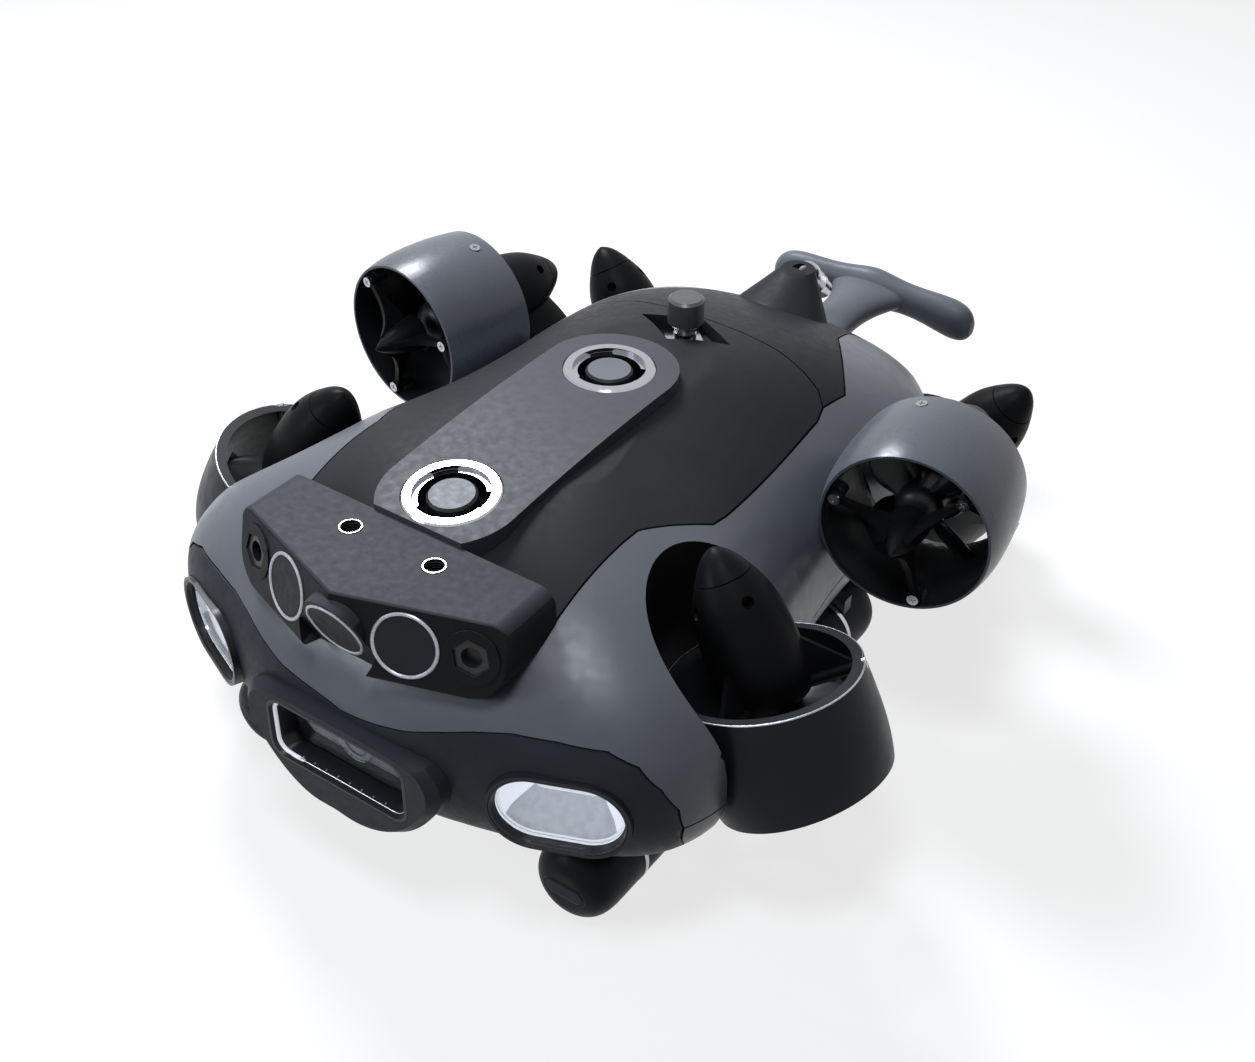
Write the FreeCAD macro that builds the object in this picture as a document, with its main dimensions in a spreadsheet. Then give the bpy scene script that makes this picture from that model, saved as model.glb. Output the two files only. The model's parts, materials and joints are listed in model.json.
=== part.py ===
import FreeCAD, Part
import math
import os
from typing import NamedTuple

import Sketcher
from FreeCAD import Matrix, Placement, Rotation, Vector

# Underwater inspection ROV. Millimetres. +X is the vehicle's left-to-right span, -Y its bow,
# +Z up. The origin lies on the plane it stands on, under the middle of its overall box.
# Only right-hand pieces (+X) are modelled; the left-hand ones are their mirror images.

SIZES = (
    # hull
    ("hull_wall", 2.2, "moulded hull wall"),
    ("panel_gap", 0.8, "open seam between hull panels"),
    ("seat_gap", 0.2, "gap round a piece seated in its pocket"),
    ("run_gap", 0.05, "radial clearance of a shaft in its bore"),
    ("side_seam_height", 69.0, "seam between upper and lower shell"),
    ("fascia_depth_y", -165.0, "back edge of the front fascia"),
    ("well_wall", 2.0, "wall round a thruster well"),
    ("well_radius", 42.5, "radius of a vertical thruster well"),
    # thruster module, along its own axis from the guard rim (0) to the pod tip
    ("duct_radius", 36.8, "outer radius of the duct at its guard rim"),
    ("duct_bore_radius", 34.8, "bore radius of the duct"),
    ("duct_belly_radius", 39.6, "largest outer radius of the duct"),
    ("duct_length", 50.0, "length of the duct"),
    ("rear_duct_length", 44.5, "length of a rear duct, cut short under the deck"),
    ("blade_radius", 33.6, "tip radius of the propeller"),
    ("blade_count", 4, "propeller blades"),
    ("hub_radius", 11.0, "propeller hub radius"),
    ("hub_start", 15.0, "front of the propeller hub"),
    ("hub_end", 36.5, "back of the propeller hub"),
    ("shaft_radius", 2.5, "propeller shaft radius"),
    ("shaft_reach", 62.0, "end of the propeller shaft"),
    ("pod_start", 38.0, "front face of the motor pod"),
    ("pod_radius", 19.2, "largest radius of the motor pod"),
    ("pod_tip", 104.0, "tip of the motor pod"),
    ("cap_start", 92.0, "seam of the pod's end cap"),
    ("motor_radius", 14.6, "motor stator radius"),
    ("motor_length", 24.0, "motor stator length"),
    ("fin_thickness", 2.4, "stator fin thickness"),
    ("strut_thickness", 2.6, "guard strut thickness"),
    ("nose_reach", 16.6, "how far the guard's nose cone stands ahead of the rim"),
    ("thruster_screw_radius", 2.5, "head radius of the thruster screws"),
    ("thruster_screw_circle", 32.4, "radius of the guard screw circle"),
    # accessory ports on the top plate
    ("plate_half_width", 30.0, "half width of the top plate"),
    ("port_front_y", -145.0, "front accessory port"),
    ("port_rear_y", -40.4, "rear accessory port"),
    ("port_top_height", 158.1, "top of the rear port ring"),
    ("plate_arch_radius", 972.0, "arch of the top plate along the hull"),
    ("ring_radius", 20.0, "outer radius of a port ring"),
    ("ring_bore_radius", 15.8, "bore radius of a port ring"),
    ("ring_thickness", 3.0, "thickness of a port ring"),
    ("cup_depth", 13.0, "depth of a port cup"),
    ("plug_radius", 10.2, "radius of a twist plug"),
    ("plug_height", 8.0, "height of a twist plug's knob"),
    ("plug_stem_radius", 4.0, "radius of a twist plug's stem"),
    # vent cap
    ("vent_y", 19.0, "vent cap position along the hull"),
    ("vent_floor", 142.0, "floor of the vent recess"),
    ("vent_base_half", 11.5, "half diagonal of the vent's base plate"),
    ("vent_base_thickness", 2.4, "thickness of the vent's base plate"),
    ("vent_cap_radius", 8.2, "radius of the vent cap"),
    ("vent_cap_bottom", 153.5, "underside of the vent cap's knob"),
    ("vent_cap_top", 166.5, "top of the vent cap's knob"),
    ("vent_stem_radius", 2.6, "radius of the vent cap's stem"),
    # tool bar
    ("bar_top", 147.9, "top of the tool bar"),
    ("bar_bottom", 116.0, "bottom of the tool bar"),
    ("bar_half_width", 66.0, "half width of the tool bar"),
    ("bar_rear_y", -166.0, "back of the tool bar"),
    ("sonar_radius", 13.4, "outer radius of a sonar's ring"),
    ("sonar_face_radius", 11.8, "radius of a sonar's face"),
    ("insert_spacing", 41.4, "spacing of the threaded inserts"),
    ("insert_y", -180.0, "threaded inserts along the hull"),
    ("insert_radius", 4.6, "outer radius of a threaded insert"),
    ("insert_bore_radius", 4.0, "bore radius of a threaded insert"),
    ("insert_length", 12.0, "length of a threaded insert"),
    # lamps and camera
    ("lamp_half_length", 28.0, "half length of a lamp bezel"),
    ("lamp_radius", 18.5, "end radius of a lamp bezel"),
    ("lamp_rim", 3.0, "rim width of a lamp bezel"),
    ("lamp_toe", 22.6, "yaw of a lamp, degrees outboard"),
    ("window_half_width", 36.0, "half width of the camera bezel"),
    ("window_half_height", 15.5, "half height of the camera bezel"),
    ("window_height", 69.5, "height of the camera's axis"),
    ("bulge_front_y", -221.0, "front face of the camera housing"),
    ("window_y", -211.0, "front face of the camera window"),
    # battery tubes
    ("tube_radius", 18.5, "battery tube radius"),
    ("tube_half_span", 84.0, "battery tube axis from the middle"),
    ("tube_height", 19.2, "battery tube axis above the floor"),
    ("tube_nose_y", -187.0, "front of a battery tube"),
    ("tube_band_front_y", -156.0, "front band of a battery tube"),
    ("tube_band_rear_y", 12.0, "rear band of a battery tube"),
    ("tube_tail_y", 41.0, "rear end of a battery tube"),
    ("band_width", 2.4, "width of a battery tube's band"),
    ("tube_bore_radius", 16.0, "battery tube bore radius"),
    ("pad_thickness", 3.0, "rest pad thickness"),
    ("latch_width", 14.0, "latch lever width"),
    ("latch_pin_radius", 1.5, "latch pin radius"),
    # handle and tether
    ("handle_half_width", 61.0, "half width of the handle's cross bar"),
    ("handle_y", 212.5, "cross bar axis along the hull"),
    ("handle_height", 89.0, "cross bar axis height in the middle"),
    ("handle_depth", 8.5, "cross bar half depth"),
    ("tether_radius", 5.0, "tether connector barrel radius"),
    # inside
    ("housing_radius", 29.0, "pressure housing radius"),
    ("housing_length", 150.0, "pressure housing length"),
    ("housing_y", -60.0, "middle of the pressure housing"),
    ("housing_height", 102.0, "axis height of the pressure housing"),
    ("chassis_thickness", 5.0, "chassis plate thickness"),
)

doc = FreeCAD.newDocument("InspectionROV")
sheet = doc.addObject("Spreadsheet::Sheet", "Sizes")
for row, (alias, amount, meaning) in enumerate(SIZES, start=1):
    sheet.set(f"A{row}", meaning)
    sheet.set(f"B{row}", str(amount))
    sheet.setAlias(f"B{row}", alias)
doc.recompute()

published = []


def mm(text):
    """Value of a size, or of an expression of sizes."""
    return float(sheet.evalExpression(text))


def add(kind, name, **bindings):
    """Add an object whose properties follow sheet expressions."""
    thing = doc.addObject(kind, name)
    for prop, expression in bindings.items():
        thing.setExpression(prop, expression)
    return thing


def publish(thing, label):
    """Name a sub-part and list it for export."""
    thing.Label = label
    published.append(thing)
    return thing


def feature(name, shape):
    """Freeform piece whose shape is worked out from the sheet's sizes."""
    thing = doc.addObject("Part::Feature", name)
    thing.Shape = shape
    return thing


def rod(name, radius, length, place=None):
    """Cylinder along its own Z axis."""
    thing = add("Part::Cylinder", name, Radius=radius, Height=length)
    thing.Placement = place or Placement()
    return thing


def block(name, length, width, height, place=None):
    """Box from its own corner."""
    thing = add("Part::Box", name, Length=length, Width=width, Height=height)
    thing.Placement = place or Placement()
    return thing


def cut(name, base, tool):
    """Base less tool."""
    thing = doc.addObject("Part::Cut", name)
    thing.Base = base
    thing.Tool = tool
    return thing


def join(name, *things):
    """Pieces moulded as one."""
    thing = doc.addObject("Part::MultiFuse", name)
    thing.Shapes = list(things)
    return thing


def group(name, *things):
    """Separate solids kept under one name."""
    thing = doc.addObject("Part::Compound", name)
    thing.Links = list(things)
    return thing


def placed(name, thing, place):
    """A copy of a piece at another place."""
    copy = group(name, thing)
    copy.Placement = place
    return copy


def mirrored(name, thing):
    """The left-hand twin of a right-hand piece."""
    twin = doc.addObject("Part::Mirroring", name)
    twin.Source = thing
    twin.Base = Vector(0, 0, 0)
    twin.Normal = Vector(1, 0, 0)
    return twin


def pair(name, thing):
    """A right-hand piece and its left-hand twin under one name."""
    return group(name, thing, mirrored(name + "_twin", thing))


def at(x, y, z, rotation=None):
    """Placement at a point."""
    return Placement(Vector(x, y, z), rotation or Rotation())


def aimed(point, direction, roll=0.0):
    """Placement whose Z axis points along a direction, rolled about it (degrees)."""
    turn = Rotation(Vector(0, 0, 1), Vector(*direction))
    return Placement(Vector(*point), turn.multiply(Rotation(Vector(0, 0, 1), roll)))


def pipe(name, outer, inner, length):
    """Plain tube standing on the origin."""
    return cut(name, rod(name + "_body", outer, length), rod(name + "_bore", inner, length))


def turned(name, outline):
    """Body turned about its own Z axis from a closed outline of (radius, height) expressions."""
    body = doc.addObject("PartDesign::Body", name)
    sketch = body.newObject("Sketcher::SketchObject", name + "_outline")
    plane = next(f for f in body.Origin.OriginFeatures if f.Role == "XZ_Plane")
    sketch.AttachmentSupport = (plane, [""])
    sketch.MapMode = "FlatFace"
    corners = [Vector(mm(radius), mm(height), 0) for radius, height in outline]
    count = len(corners)
    for index, corner in enumerate(corners):
        sketch.addGeometry(Part.LineSegment(corner, corners[(index + 1) % count]))
    for index in range(count):
        sketch.addConstraint(Sketcher.Constraint("Coincident", index, 2, (index + 1) % count, 1))
    for index, (radius, height) in enumerate(outline):
        for kind, axis, amount in (("DistanceX", -2, radius), ("DistanceY", -1, height)):
            if abs(mm(amount)) < 1e-9:
                sketch.addConstraint(Sketcher.Constraint("PointOnObject", index, 1, axis))
                continue
            number = sketch.addConstraint(
                Sketcher.Constraint(kind, -1, 1, index, 1, mm(amount)))
            sketch.setExpression(f"Constraints[{number}]", amount)
    spin = body.newObject("PartDesign::Revolution", name + "_turn")
    spin.Profile = sketch
    spin.ReferenceAxis = (sketch, ["V_Axis"])
    spin.Angle = 360
    return body


def spline(points, closed=False):
    """Edge through points."""
    curve = Part.BSplineCurve()
    curve.interpolate(Points=[Vector(*p) for p in points], PeriodicFlag=closed)
    return curve.toShape()


def revolved(curved, *straight):
    """Solid of revolution about Z: a smooth (radius, height) curve closed by straight runs."""
    edges = [spline([(radius, 0, height) for radius, height in curved])]
    corners = [curved[-1], *straight, curved[0]]
    for (r1, z1), (r2, z2) in zip(corners, corners[1:]):
        edges.append(Part.makeLine(Vector(r1, 0, z1), Vector(r2, 0, z2)))
    face = Part.Face(Part.Wire(edges))
    return face.revolve(Vector(0, 0, 0), Vector(0, 0, 1), 360)


def prism(points, low, high):
    """Upright prism over a plan polygon."""
    corners = [Vector(x, y, low) for x, y in points]
    face = Part.Face(Part.makePolygon(corners + corners[:1]))
    return face.extrude(Vector(0, 0, high - low))


def both_sides(right):
    """Closed symmetric polygon from its right-hand points, listed bow to stern."""
    return list(right) + [(-x, y) for x, y in reversed(right) if x > 0]


def grown(points, amount):
    """Plan polygon offset outwards by an amount (inwards when negative)."""
    corners = [Vector(x, y, 0) for x, y in points]
    wire = Part.makePolygon(corners + corners[:1])
    edge = Part.Face(wire).makeOffset2D(amount, 2).OuterWire
    return [(v.X, v.Y) for v in edge.OrderedVertexes]


def oblong(half_length, radius, low, high):
    """Stadium prism along its own Z axis."""
    reach = half_length - radius
    ends = (Vector(reach, -radius, low), Vector(half_length, 0, low), Vector(reach, radius, low),
            Vector(-reach, radius, low), Vector(-half_length, 0, low), Vector(-reach, -radius, low))
    wire = Part.Wire([
        Part.Arc(ends[0], ends[1], ends[2]).toShape(),
        Part.makeLine(ends[2], ends[3]),
        Part.Arc(ends[3], ends[4], ends[5]).toShape(),
        Part.makeLine(ends[5], ends[0]),
    ])
    if high == low:
        return wire
    return Part.Face(wire).extrude(Vector(0, 0, high - low))


def put(shape, place):
    """Copy of a shape at a place."""
    copy = shape.copy()
    copy.Placement = place.multiply(copy.Placement)
    return copy


def flip(shape):
    """Left-hand twin of a shape."""
    return shape.mirror(Vector(0, 0, 0), Vector(1, 0, 0))


# --- hull -----------------------------------------------------------------------------------

class Level(NamedTuple):
    """A horizontal slice of the hull: its height, half width, bow end and stern end."""

    height: float
    half_width: float
    nose: float
    tail: float


HULL_LEVELS = (
    Level(39.0, 106.0, -195.0, 106.0),
    Level(43.5, 119.0, -202.5, 120.0),
    Level(54.5, 130.0, -210.5, 135.0),
    Level(74.5, 134.4, -215.4, 147.0),
    Level(96.0, 131.0, -214.0, 143.0),
    Level(118.5, 112.0, -199.4, 115.0),
    Level(134.5, 88.0, -177.0, 80.0),
    Level(146.5, 60.0, -151.0, 42.0),
    Level(152.0, 40.0, -124.0, 12.0),
)

# The plan form, as shares of a slice's half width and of its length from bow to stern.
PLAN_FORM = (
    (0, 0), (.27, .004), (.54, .030), (.78, .062), (.935, .108), (1, .175), (.955, .281),
    (.862, .386), (.79, .5), (.757, .64), (.74, .785), (.67, .885), (.52, .955), (.28, .991), (0, 1),
)

DECK_PLAN = ((0, -188), (58, -188), (65, -178), (66, -114), (79, -80), (79, -70), (72.5, 16),
             (70, 25), (64, 31), (54, 34), (40, 36), (0, 36))
TAIL_PLAN = ((0, 36), (40, 36), (54, 34), (64, 31), (70, 25), (71, 44), (43, 88), (38, 108),
             (38, 170), (0, 170))
TAIL_COVER_FLOOR = 92.0

# The fascia's edge seen from the bow: (half width, height), from the middle of its top edge.
FASCIA_EDGE = ((0, 91), (17, 93.5), (31, 96), (41, 99), (56, 103), (70, 105.5), (86, 106),
               (103, 105), (114, 100), (122, 91), (127, 80), (128, 69), (126, 57), (122, 45), (120, 20))
CAMERA_EDGE = ((0, 38), (15, 38.5), (31, 46), (45, 62), (50, 74), (46, 84.5), (34, 88.5), (0, 89.5))

FRONT_WELL = (120.0, -112.0)
REAR_WELL = (104.0, 147.0)


def slice_wire(level, inset, lift):
    """Closed outline of one hull slice, drawn in by an inset."""
    width = level.half_width - inset
    nose = level.nose + inset
    length = level.tail - inset - nose
    right = [(width * across, nose + length * along, level.height + lift)
             for across, along in PLAN_FORM]
    left = [(-x, y, z) for x, y, z in right[-2:0:-1]]
    return Part.Wire(spline(right + left, closed=True))


def hull_form(inset=0.0):
    """Solid inside the hull's skin, drawn in by an inset."""
    last = len(HULL_LEVELS) - 1
    lifts = {0: inset, last: -inset}
    wires = [slice_wire(level, inset, lifts.get(index, 0.0))
             for index, level in enumerate(HULL_LEVELS)]
    return Part.makeLoft(wires, True, False)


def upright(radius, spot):
    """Tall upright cylinder through the whole hull."""
    return Part.makeCylinder(radius, 200, Vector(spot[0], spot[1], -10))


def camera_housing():
    """Raised housing round the camera window, with a bevelled front edge."""
    middle = mm("Sizes.window_height")
    front = mm("Sizes.bulge_front_y")
    wires = []
    for y, share in ((front, 0.92), (front + 4, 1.0), (front + 26, 1.0)):
        right = [(x * share, y, middle + (z - middle) * share) for x, z in CAMERA_EDGE]
        left = [(-x, y0, z) for x, y0, z in right[-2:0:-1]]
        wires.append(Part.Wire(spline(right + left, closed=True)))
    return Part.makeLoft(wires, True, True)


def fascia_region(margin):
    """Space in front of the hull that the fascia's edge bounds."""
    edge = [(x + (margin if x > 0 else 0), z + (margin if x < 120 else 0)) for x, z in FASCIA_EDGE]
    bow = -260.0
    corners = [Vector(x, bow, z) for x, z in edge] + [Vector(-x, bow, z) for x, z in edge[:0:-1]]
    face = Part.Face(Part.makePolygon(corners + corners[:1]))
    return face.extrude(Vector(0, mm("Sizes.fascia_depth_y") + margin - bow, 0))


# --- thruster module ------------------------------------------------------------------------

class Station(NamedTuple):
    """Where a thruster's guard rim lies, the way its motor pod points, and its roll."""

    rim: tuple
    axis: tuple
    roll: float


STATIONS = {
    "front": Station((146.0, -110.2, 53.9), (-.5, .045, .865), -30.0),
    "mid": Station((135.8, -22.9, 118.5), (-.148, .989, 0), -45.0),
    "rear": Station((70.9, 125.5, 21.5), (.53, .03, .8475), -30.0),
}
FRONT_RIM_NORMAL = (-.3, .05, .95)
STRUTS = (0, 120, 240)
FINS = (60, 180, 300)


def thruster_place(station):
    """Placement of a thruster module."""
    spot = STATIONS[station]
    aim = Rotation(Vector(1, 0, 0), Vector(0, 0, 0), Vector(*spot.axis), "ZXY")
    return Placement(Vector(*spot.rim), aim.multiply(Rotation(Vector(0, 0, 1), spot.roll)))


def around(shape, phases):
    """Copies of a shape turned about Z."""
    copies = []
    for phase in phases:
        copy = shape.copy()
        copy.rotate(Vector(0, 0, 0), Vector(0, 0, 1), phase)
        copies.append(copy)
    return copies


def radial(radius, start, length, height):
    """Cylinder pointing outwards along X at a height."""
    return Part.makeCylinder(radius, length, Vector(start, 0, height), Vector(1, 0, 0))


def duct_form(length):
    """Duct ring with screw lugs for the guard and screw holes for the stator fins."""
    rim = mm("Sizes.duct_radius")
    belly = mm("Sizes.duct_belly_radius")
    bore = mm("Sizes.duct_bore_radius")
    circle = mm("Sizes.thruster_screw_circle") - 0.7
    screw = mm("Sizes.thruster_screw_radius")
    skin = [(rim, 0), (rim + .6 * (belly - rim), .14 * length), (belly, .44 * length),
            (belly - .15 * (belly - rim), .74 * length), (rim + .3 * (belly - rim), length)]
    duct = revolved(skin, (bore + 1.2, length), (bore, length - 7), (bore, 2), (bore + .9, 0))
    lug = Part.makeCylinder(2.9, 6, Vector(circle, 0, 3.4))
    lug = lug.fuse(Part.makeBox(bore + .6 - circle, 5.8, 6, Vector(circle, -2.9, 3.4)))
    duct = duct.multiFuse(around(lug, STRUTS))
    holes = around(Part.makeCylinder(screw * .5, 20, Vector(circle, 0, -3)), STRUTS)
    holes += around(radial(screw * .5, bore - 2, 12, fin_height()), FINS)
    holes += around(radial(screw + .1, belly - 1.5, 6, fin_height()), FINS)
    return duct.cut(Part.makeCompound(holes))


def fin_height():
    """Height of the screws that hold the stator fins to the duct."""
    return mm("Sizes.pod_start") + 2.5


POD_SKIN = ((16.2, 0), (18.6, 8), (19.2, 20), (18.2, 34), (15.6, 45.5), (11.6, 54), (8.4, 59.3),
            (4.8, 63.4), (0, 66))


def pod_skin():
    """Pod outline as (radius, height), scaled to the pod's radius and length."""
    start = mm("Sizes.pod_start")
    stretch = (mm("Sizes.pod_tip") - start) / POD_SKIN[-1][1]
    swell = mm("Sizes.pod_radius") / 19.2
    return [(radius * swell, start + height * stretch) for radius, height in POD_SKIN]


def pod_solid():
    """Whole pod from its front face to its tip."""
    skin = pod_skin()
    return revolved(skin, (0, skin[0][1]))


def pod_form():
    """Motor pod with its stator fins, motor chamber, shaft bore and drain holes."""
    start = mm("Sizes.pod_start")
    seam = mm("Sizes.cap_start")
    bore = mm("Sizes.duct_bore_radius")
    thick = mm("Sizes.fin_thickness")
    screw = mm("Sizes.thruster_screw_radius")
    solid = pod_solid().common(Part.makeCylinder(60, seam - .25))
    reach = bore - mm("Sizes.seat_gap")
    corners = [Vector(12, -thick / 2, start + 26), Vector(20, -thick / 2, start + 20),
               Vector(reach, -thick / 2, start + 5.4), Vector(reach, -thick / 2, start - .4),
               Vector(12, -thick / 2, start + 1)]
    fin = Part.Face(Part.makePolygon(corners + corners[:1])).extrude(Vector(0, thick, 0))
    fin = fin.fuse(radial(screw + .3, 14, reach - 14, fin_height()))
    solid = solid.multiFuse(around(fin, FINS))
    chamber = Part.makeCylinder(mm("Sizes.motor_radius") + .4, mm("Sizes.motor_length") + .6,
                                Vector(0, 0, start + 4))
    shaft = Part.makeCylinder(mm("Sizes.shaft_radius + Sizes.run_gap"), 6, Vector(0, 0, start - 1))
    spigot = Part.makeCylinder(7.2, 8, Vector(0, 0, seam - 5))
    holes = around(radial(screw * .5, reach - 8, 12, fin_height()), FINS)
    holes += around(radial(2.5, 11.5, 12, seam - 9), (0, 90, 180, 270))
    return solid.cut(Part.makeCompound([chamber, shaft, spigot, *holes]))


def cap_form():
    """End cap of a pod, with the spigot that plugs it."""
    seam = mm("Sizes.cap_start")
    tip = pod_solid().cut(Part.makeCylinder(60, seam + .25))
    spigot = Part.makeCylinder(7.0, 5, Vector(0, 0, seam - 4.5))
    return tip.fuse(spigot)


def motor_form():
    """Motor stator with its shaft bore."""
    start = mm("Sizes.pod_start") + 4.2
    body = Part.makeCylinder(mm("Sizes.motor_radius"), mm("Sizes.motor_length"), Vector(0, 0, start))
    return body.cut(Part.makeCylinder(mm("Sizes.shaft_radius + Sizes.run_gap"), 60,
                                      Vector(0, 0, start - 1)))


def guard_form():
    """Guard spider: nose cone, three struts and their screw pads."""
    reach = mm("Sizes.nose_reach")
    thick = mm("Sizes.strut_thickness")
    circle = mm("Sizes.thruster_screw_circle") - 0.7
    back = 9.0
    cone = revolved([(0, -reach), (3.0, -reach + 4.4), (6.0, -reach + 11.5), (8.0, 3), (8.8, back)],
                    (0, back))
    lead = spline([(circle, -thick / 2, 0), (20, -thick / 2, -.6), (11, -thick / 2, -4),
                   (5, -thick / 2, -10)])
    trail = spline([(5, -thick / 2, back - 1), (12, -thick / 2, 6.4), (20, -thick / 2, 4),
                    (circle, -thick / 2, 3)])
    ends = lead.Vertexes, trail.Vertexes
    wire = Part.Wire([lead, Part.makeLine(ends[0][1].Point, ends[1][0].Point), trail,
                      Part.makeLine(ends[1][1].Point, ends[0][0].Point)])
    strut = Part.Face(wire).extrude(Vector(0, thick, 0))
    strut = strut.fuse(Part.makeCylinder(2.9, 3.2, Vector(circle, 0, 0)))
    guard = cone.multiFuse(around(strut, STRUTS))
    hole = Part.makeCylinder(mm("Sizes.thruster_screw_radius") * .5, 20, Vector(circle, 0, -3))
    return guard.cut(Part.makeCompound(around(hole, STRUTS)))


def cross_screw(radius, length):
    """Pan-head screw pointing along -Z, its head's underside at the origin."""
    head = Part.makeCylinder(radius, 1.3).fuse(Part.makeCylinder(radius * .44, length, Vector(0, 0, -length)))
    slot = Part.makeBox(radius * 1.2, .5, 1, Vector(-radius * .6, -.25, .7))
    turned_slot = Part.makeBox(.5, radius * 1.2, 1, Vector(-.25, -radius * .6, .7))
    return head.cut(Part.makeCompound([slot, turned_slot]))


def screws_form():
    """The screws of one thruster: three in the guard, three through the duct into the fins."""
    radius = mm("Sizes.thruster_screw_radius")
    circle = mm("Sizes.thruster_screw_circle") - 0.7
    front = put(cross_screw(radius, 8.5), at(circle, 0, 0, Rotation(Vector(1, 0, 0), 180)))
    seat = mm("Sizes.duct_belly_radius") - 1.5
    side = put(cross_screw(radius, 8), at(seat, 0, fin_height(), Rotation(Vector(0, 1, 0), 90)))
    return Part.makeCompound(around(front, STRUTS) + around(side, FINS))


def blade_section(radius, chord, thickness, pitch):
    """Closed elliptical blade section across the blade at a radius."""
    middle = (mm("Sizes.hub_start") + mm("Sizes.hub_end")) / 2
    ring = []
    for step in range(12):
        angle = math.radians(30 * step)
        along = chord / 2 * math.cos(angle)
        across = thickness / 2 * math.sin(angle)
        lean = math.radians(pitch)
        ring.append((radius, along * math.cos(lean) - across * math.sin(lean),
                     middle + along * math.sin(lean) + across * math.cos(lean)))
    return Part.Wire(spline(ring, closed=True))


def propeller_form():
    """Propeller: hub with rounded nose, pitched blades and its shaft."""
    hub = mm("Sizes.hub_radius")
    start = mm("Sizes.hub_start")
    end = mm("Sizes.hub_end")
    tip = mm("Sizes.blade_radius")
    body = revolved([(0, start), (hub * .5, start + .8), (hub * .85, start + 3), (hub, start + 7)],
                    (hub, end), (0, end))
    shaft = Part.makeCylinder(mm("Sizes.shaft_radius"), mm("Sizes.shaft_reach") - end + 2,
                              Vector(0, 0, end - 2))
    blade = Part.makeLoft([blade_section(hub * .6, 13, 3.4, 56),
                           blade_section(hub * .4 + tip * .5, 19, 2.4, 36),
                           blade_section(tip - 2.2, 15, 1.2, 24)], True, False)
    count = int(mm("Sizes.blade_count"))
    blades = around(blade, [360 / count * step for step in range(count)])
    return body.multiFuse([shaft, *blades])


def front_rim_trim():
    """Space beyond a front duct's slanted pod-side rim."""
    middle = thruster_place("front").multVec(Vector(0, 0, mm("Sizes.duct_length")))
    tool = Part.makeBox(200, 200, 100, Vector(-100, -100, 0))
    return put(tool, aimed(middle, FRONT_RIM_NORMAL))


def seat_block(direction, height):
    """Seat that carries a front duct on the wall of its well, seen from above in a direction."""
    place = thruster_place("front")
    middle = place.multVec(Vector(0, 0, mm("Sizes.duct_length") * .55))
    middle.z = height
    turn = Rotation(Vector(1, 0, 0), Vector(direction[0], direction[1], 0))
    seat = put(Part.makeBox(60, 16, 9, Vector(0, -8, -4.5)), Placement(middle, turn))
    inner = put(Part.makeCylinder(mm("Sizes.duct_bore_radius") + 1, 80), place)
    return seat.common(upright(mm("Sizes.well_radius") - .25, FRONT_WELL)).cut(inner)


def duct_at(station):
    """Duct at its station: the front one has a slanted rim and seats, the rear one is short."""
    place = thruster_place(station)
    length = mm("Sizes.duct_length")
    if station == "mid":
        return put(duct_form(length), place)
    duct = duct_form(length + 10)
    if station == "rear":
        beyond = Part.makeCylinder(60, 40, Vector(0, 0, mm("Sizes.rear_duct_length")))
        return put(duct.cut(beyond), place)
    seats = [seat_block((-1, y), 77.7) for y in (-.75, .75)]
    return put(duct, place).cut(front_rim_trim()).multiFuse(seats)


def pylon(outer):
    """Fairing that carries the mid pod on the hull's side."""
    place = thruster_place("mid")
    root = Vector(88, 58, 84)
    wires = []
    for share, long, wide in ((0, 17, 7.5), (.5, 15, 6.5), (1, 20, 8)):
        crown = place.multVec(Vector(0, 0, mm("Sizes.pod_start") + 34))
        middle = crown + (root - crown) * share
        ellipse = Part.Ellipse(Vector(0, 0, 0), long, wide)
        lean = Rotation(Vector(0, 1, 0), Vector(0, 0, 0), root - crown, "ZXY")
        wires.append(put(Part.Wire(ellipse.toShape()), Placement(middle, lean)))
    return Part.makeLoft(wires, True, False).cut(outer)


def thrusters(outer):
    """The six thrusters: three right-hand modules and their mirror images."""
    masters = {
        "guard": feature("guard_master", guard_form()),
        "propeller": feature("propeller_master", propeller_form()),
        "cap": feature("pod_cap_master", cap_form()),
        "motor": feature("motor_master", motor_form()),
        "screws": feature("screws_master", screws_form()),
    }
    caps, motors, screws = [], [], []
    pod_shape = pod_form()
    for station in STATIONS:
        place = thruster_place(station)
        duct = feature(f"{station}_duct_r", duct_at(station))
        shape = put(pod_shape, place)
        if station == "mid":
            chamber = put(Part.makeCylinder(mm("Sizes.motor_radius") + .4, 34,
                                            Vector(0, 0, mm("Sizes.pod_start") + 4)), place)
            seam = mm("Sizes.cap_start")
            spigot = put(Part.makeCylinder(7.2, 8, Vector(0, 0, seam - 5)), place)
            beyond = put(Part.makeCylinder(60, 40, Vector(0, 0, seam - .25)), place)
            shape = shape.fuse(pylon(outer).cut(chamber).cut(spigot)).cut(beyond)
        pod = feature(f"{station}_pod_r", shape)
        propeller = placed(f"{station}_propeller_r", masters["propeller"], place)
        guard = placed(f"{station}_guard_r", masters["guard"], place)
        for name, thing in (("duct", duct), ("pod", pod), ("propeller", propeller)):
            publish(thing, f"{station}_{name}_right")
            publish(mirrored(f"{station}_{name}_l", thing), f"{station}_{name}_left")
        publish(pair(f"{station}_guard_pair", guard), f"{station}_guards")
        for store, key in ((caps, "cap"), (motors, "motor"), (screws, "screws")):
            right = placed(f"{station}_{key}_r", masters[key], place)
            store += [right, mirrored(f"{station}_{key}_l", right)]
    publish(group("caps_all", *caps), "pod_caps")
    publish(group("motors_all", *motors), "thruster_motors")
    publish(group("screws_all", *screws), "thruster_screws")


# --- hull panels ----------------------------------------------------------------------------

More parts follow.
